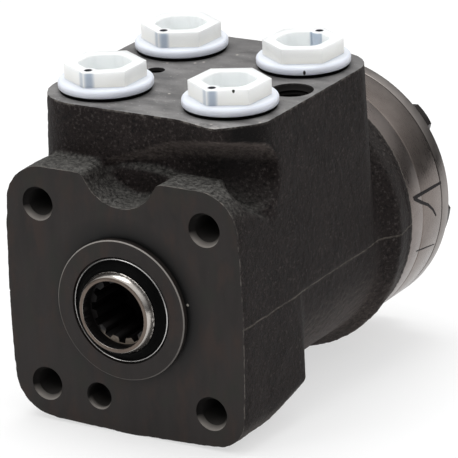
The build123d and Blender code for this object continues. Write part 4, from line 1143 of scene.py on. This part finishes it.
bpy.ops.object.select_all(action="DESELECT")
lean = math.atan2(FRONT_FOOT[1] - REAR_FOOT[1], REAR_FOOT[0] - FRONT_FOOT[0])
bpy.ops.mesh.primitive_grid_add(x_subdivisions=8, y_subdivisions=8, size=FLOOR_SIZE,
                                location=mm(0, *FRONT_FOOT) + mm(0, 0, -FLOOR_GAP), rotation=(-lean, 0, 0))
floor = bpy.context.object
floor.name = "floor"
bpy.ops.object.transform_apply(location=True, rotation=True, scale=True)
floor.data.materials.append(pale_floor())

# The room's light rises from the horizon to SKY_RISE of the way up.
HORIZON_LIGHT = 0.05
TOP_LIGHT = 1.15
SKY_RISE = 0.9

world = bpy.data.worlds.new("soft_room")
bpy.context.scene.world = world
world.use_nodes = True
tree = world.node_tree
tree.nodes.clear()
where = tree.nodes.new("ShaderNodeTexCoord")
split = tree.nodes.new("ShaderNodeSeparateXYZ")
height = tree.nodes.new("ShaderNodeMapRange")
height.interpolation_type = "SMOOTHSTEP"
back = tree.nodes.new("ShaderNodeBackground")
out = tree.nodes.new("ShaderNodeOutputWorld")
tree.links.new(where.outputs["Generated"], split.inputs[0])
tree.links.new(split.outputs["Z"], height.inputs["Value"])
sky = {"From Min": 0.0, "From Max": SKY_RISE, "To Min": HORIZON_LIGHT, "To Max": TOP_LIGHT}
for socket, value in sky.items():
    height.inputs[socket].default_value = value
tree.links.new(height.outputs[0], back.inputs["Strength"])
back.inputs["Color"].default_value = (1, 1, 1, 1)
tree.links.new(back.outputs[0], out.inputs["Surface"])
print("floor leans", round(math.degrees(lean), 2), "degrees")

# %% Lamps and camera
# Each softbox: its place and target in metres, its width in metres and its power in watts.
SOFTBOXES = {
    "overhead": ((-0.15, 0.25, 1.1), (0, 0.05, 0), 0.9, 7.2),
    "front": ((-0.5, -1.0, 0.9), (0, 0.02, 0), 0.5, 2.2),
}


def softbox(name, place, target, size, power):
    """A round area lamp that looks at its target."""
    light = bpy.data.lights.new(name, "AREA")
    light.shape = "DISK"
    light.size = size
    light.energy = power
    lamp = bpy.data.objects.new(name, light)
    bpy.context.scene.collection.objects.link(lamp)
    lamp.location = place
    lamp.rotation_euler = (Vector(target) - Vector(place)).to_track_quat("-Z", "Y").to_euler()


for name, (place, target, size, power) in SOFTBOXES.items():
    softbox(name, place, target, size, power)

# The camera's own directions in the shared frame, its place in metres, and its lens in millimetres.
RIGHT = Vector((0.8634, 0.5031, -0.0367))
ABOVE = Vector((-0.1391, 0.3073, 0.9414))
AHEAD = Vector((-0.4849, 0.8077, -0.3353))
CAMERA_PLACE = (0.6039, -0.9430, 0.4224)
SENSOR_WIDTH = 36
FOCAL_LENGTH = 312.96

lens = bpy.data.cameras.new("long_lens")
lens.sensor_width = SENSOR_WIDTH
lens.lens = FOCAL_LENGTH
lens.clip_start = 0.05
camera = bpy.data.objects.new("camera", lens)
aim = Matrix((RIGHT, ABOVE, -AHEAD)).transposed().to_4x4()
camera.matrix_world = Matrix.Translation(CAMERA_PLACE) @ aim
bpy.context.scene.collection.objects.link(camera)
bpy.context.scene.camera = camera
bpy.context.scene.view_settings.view_transform = "Standard"
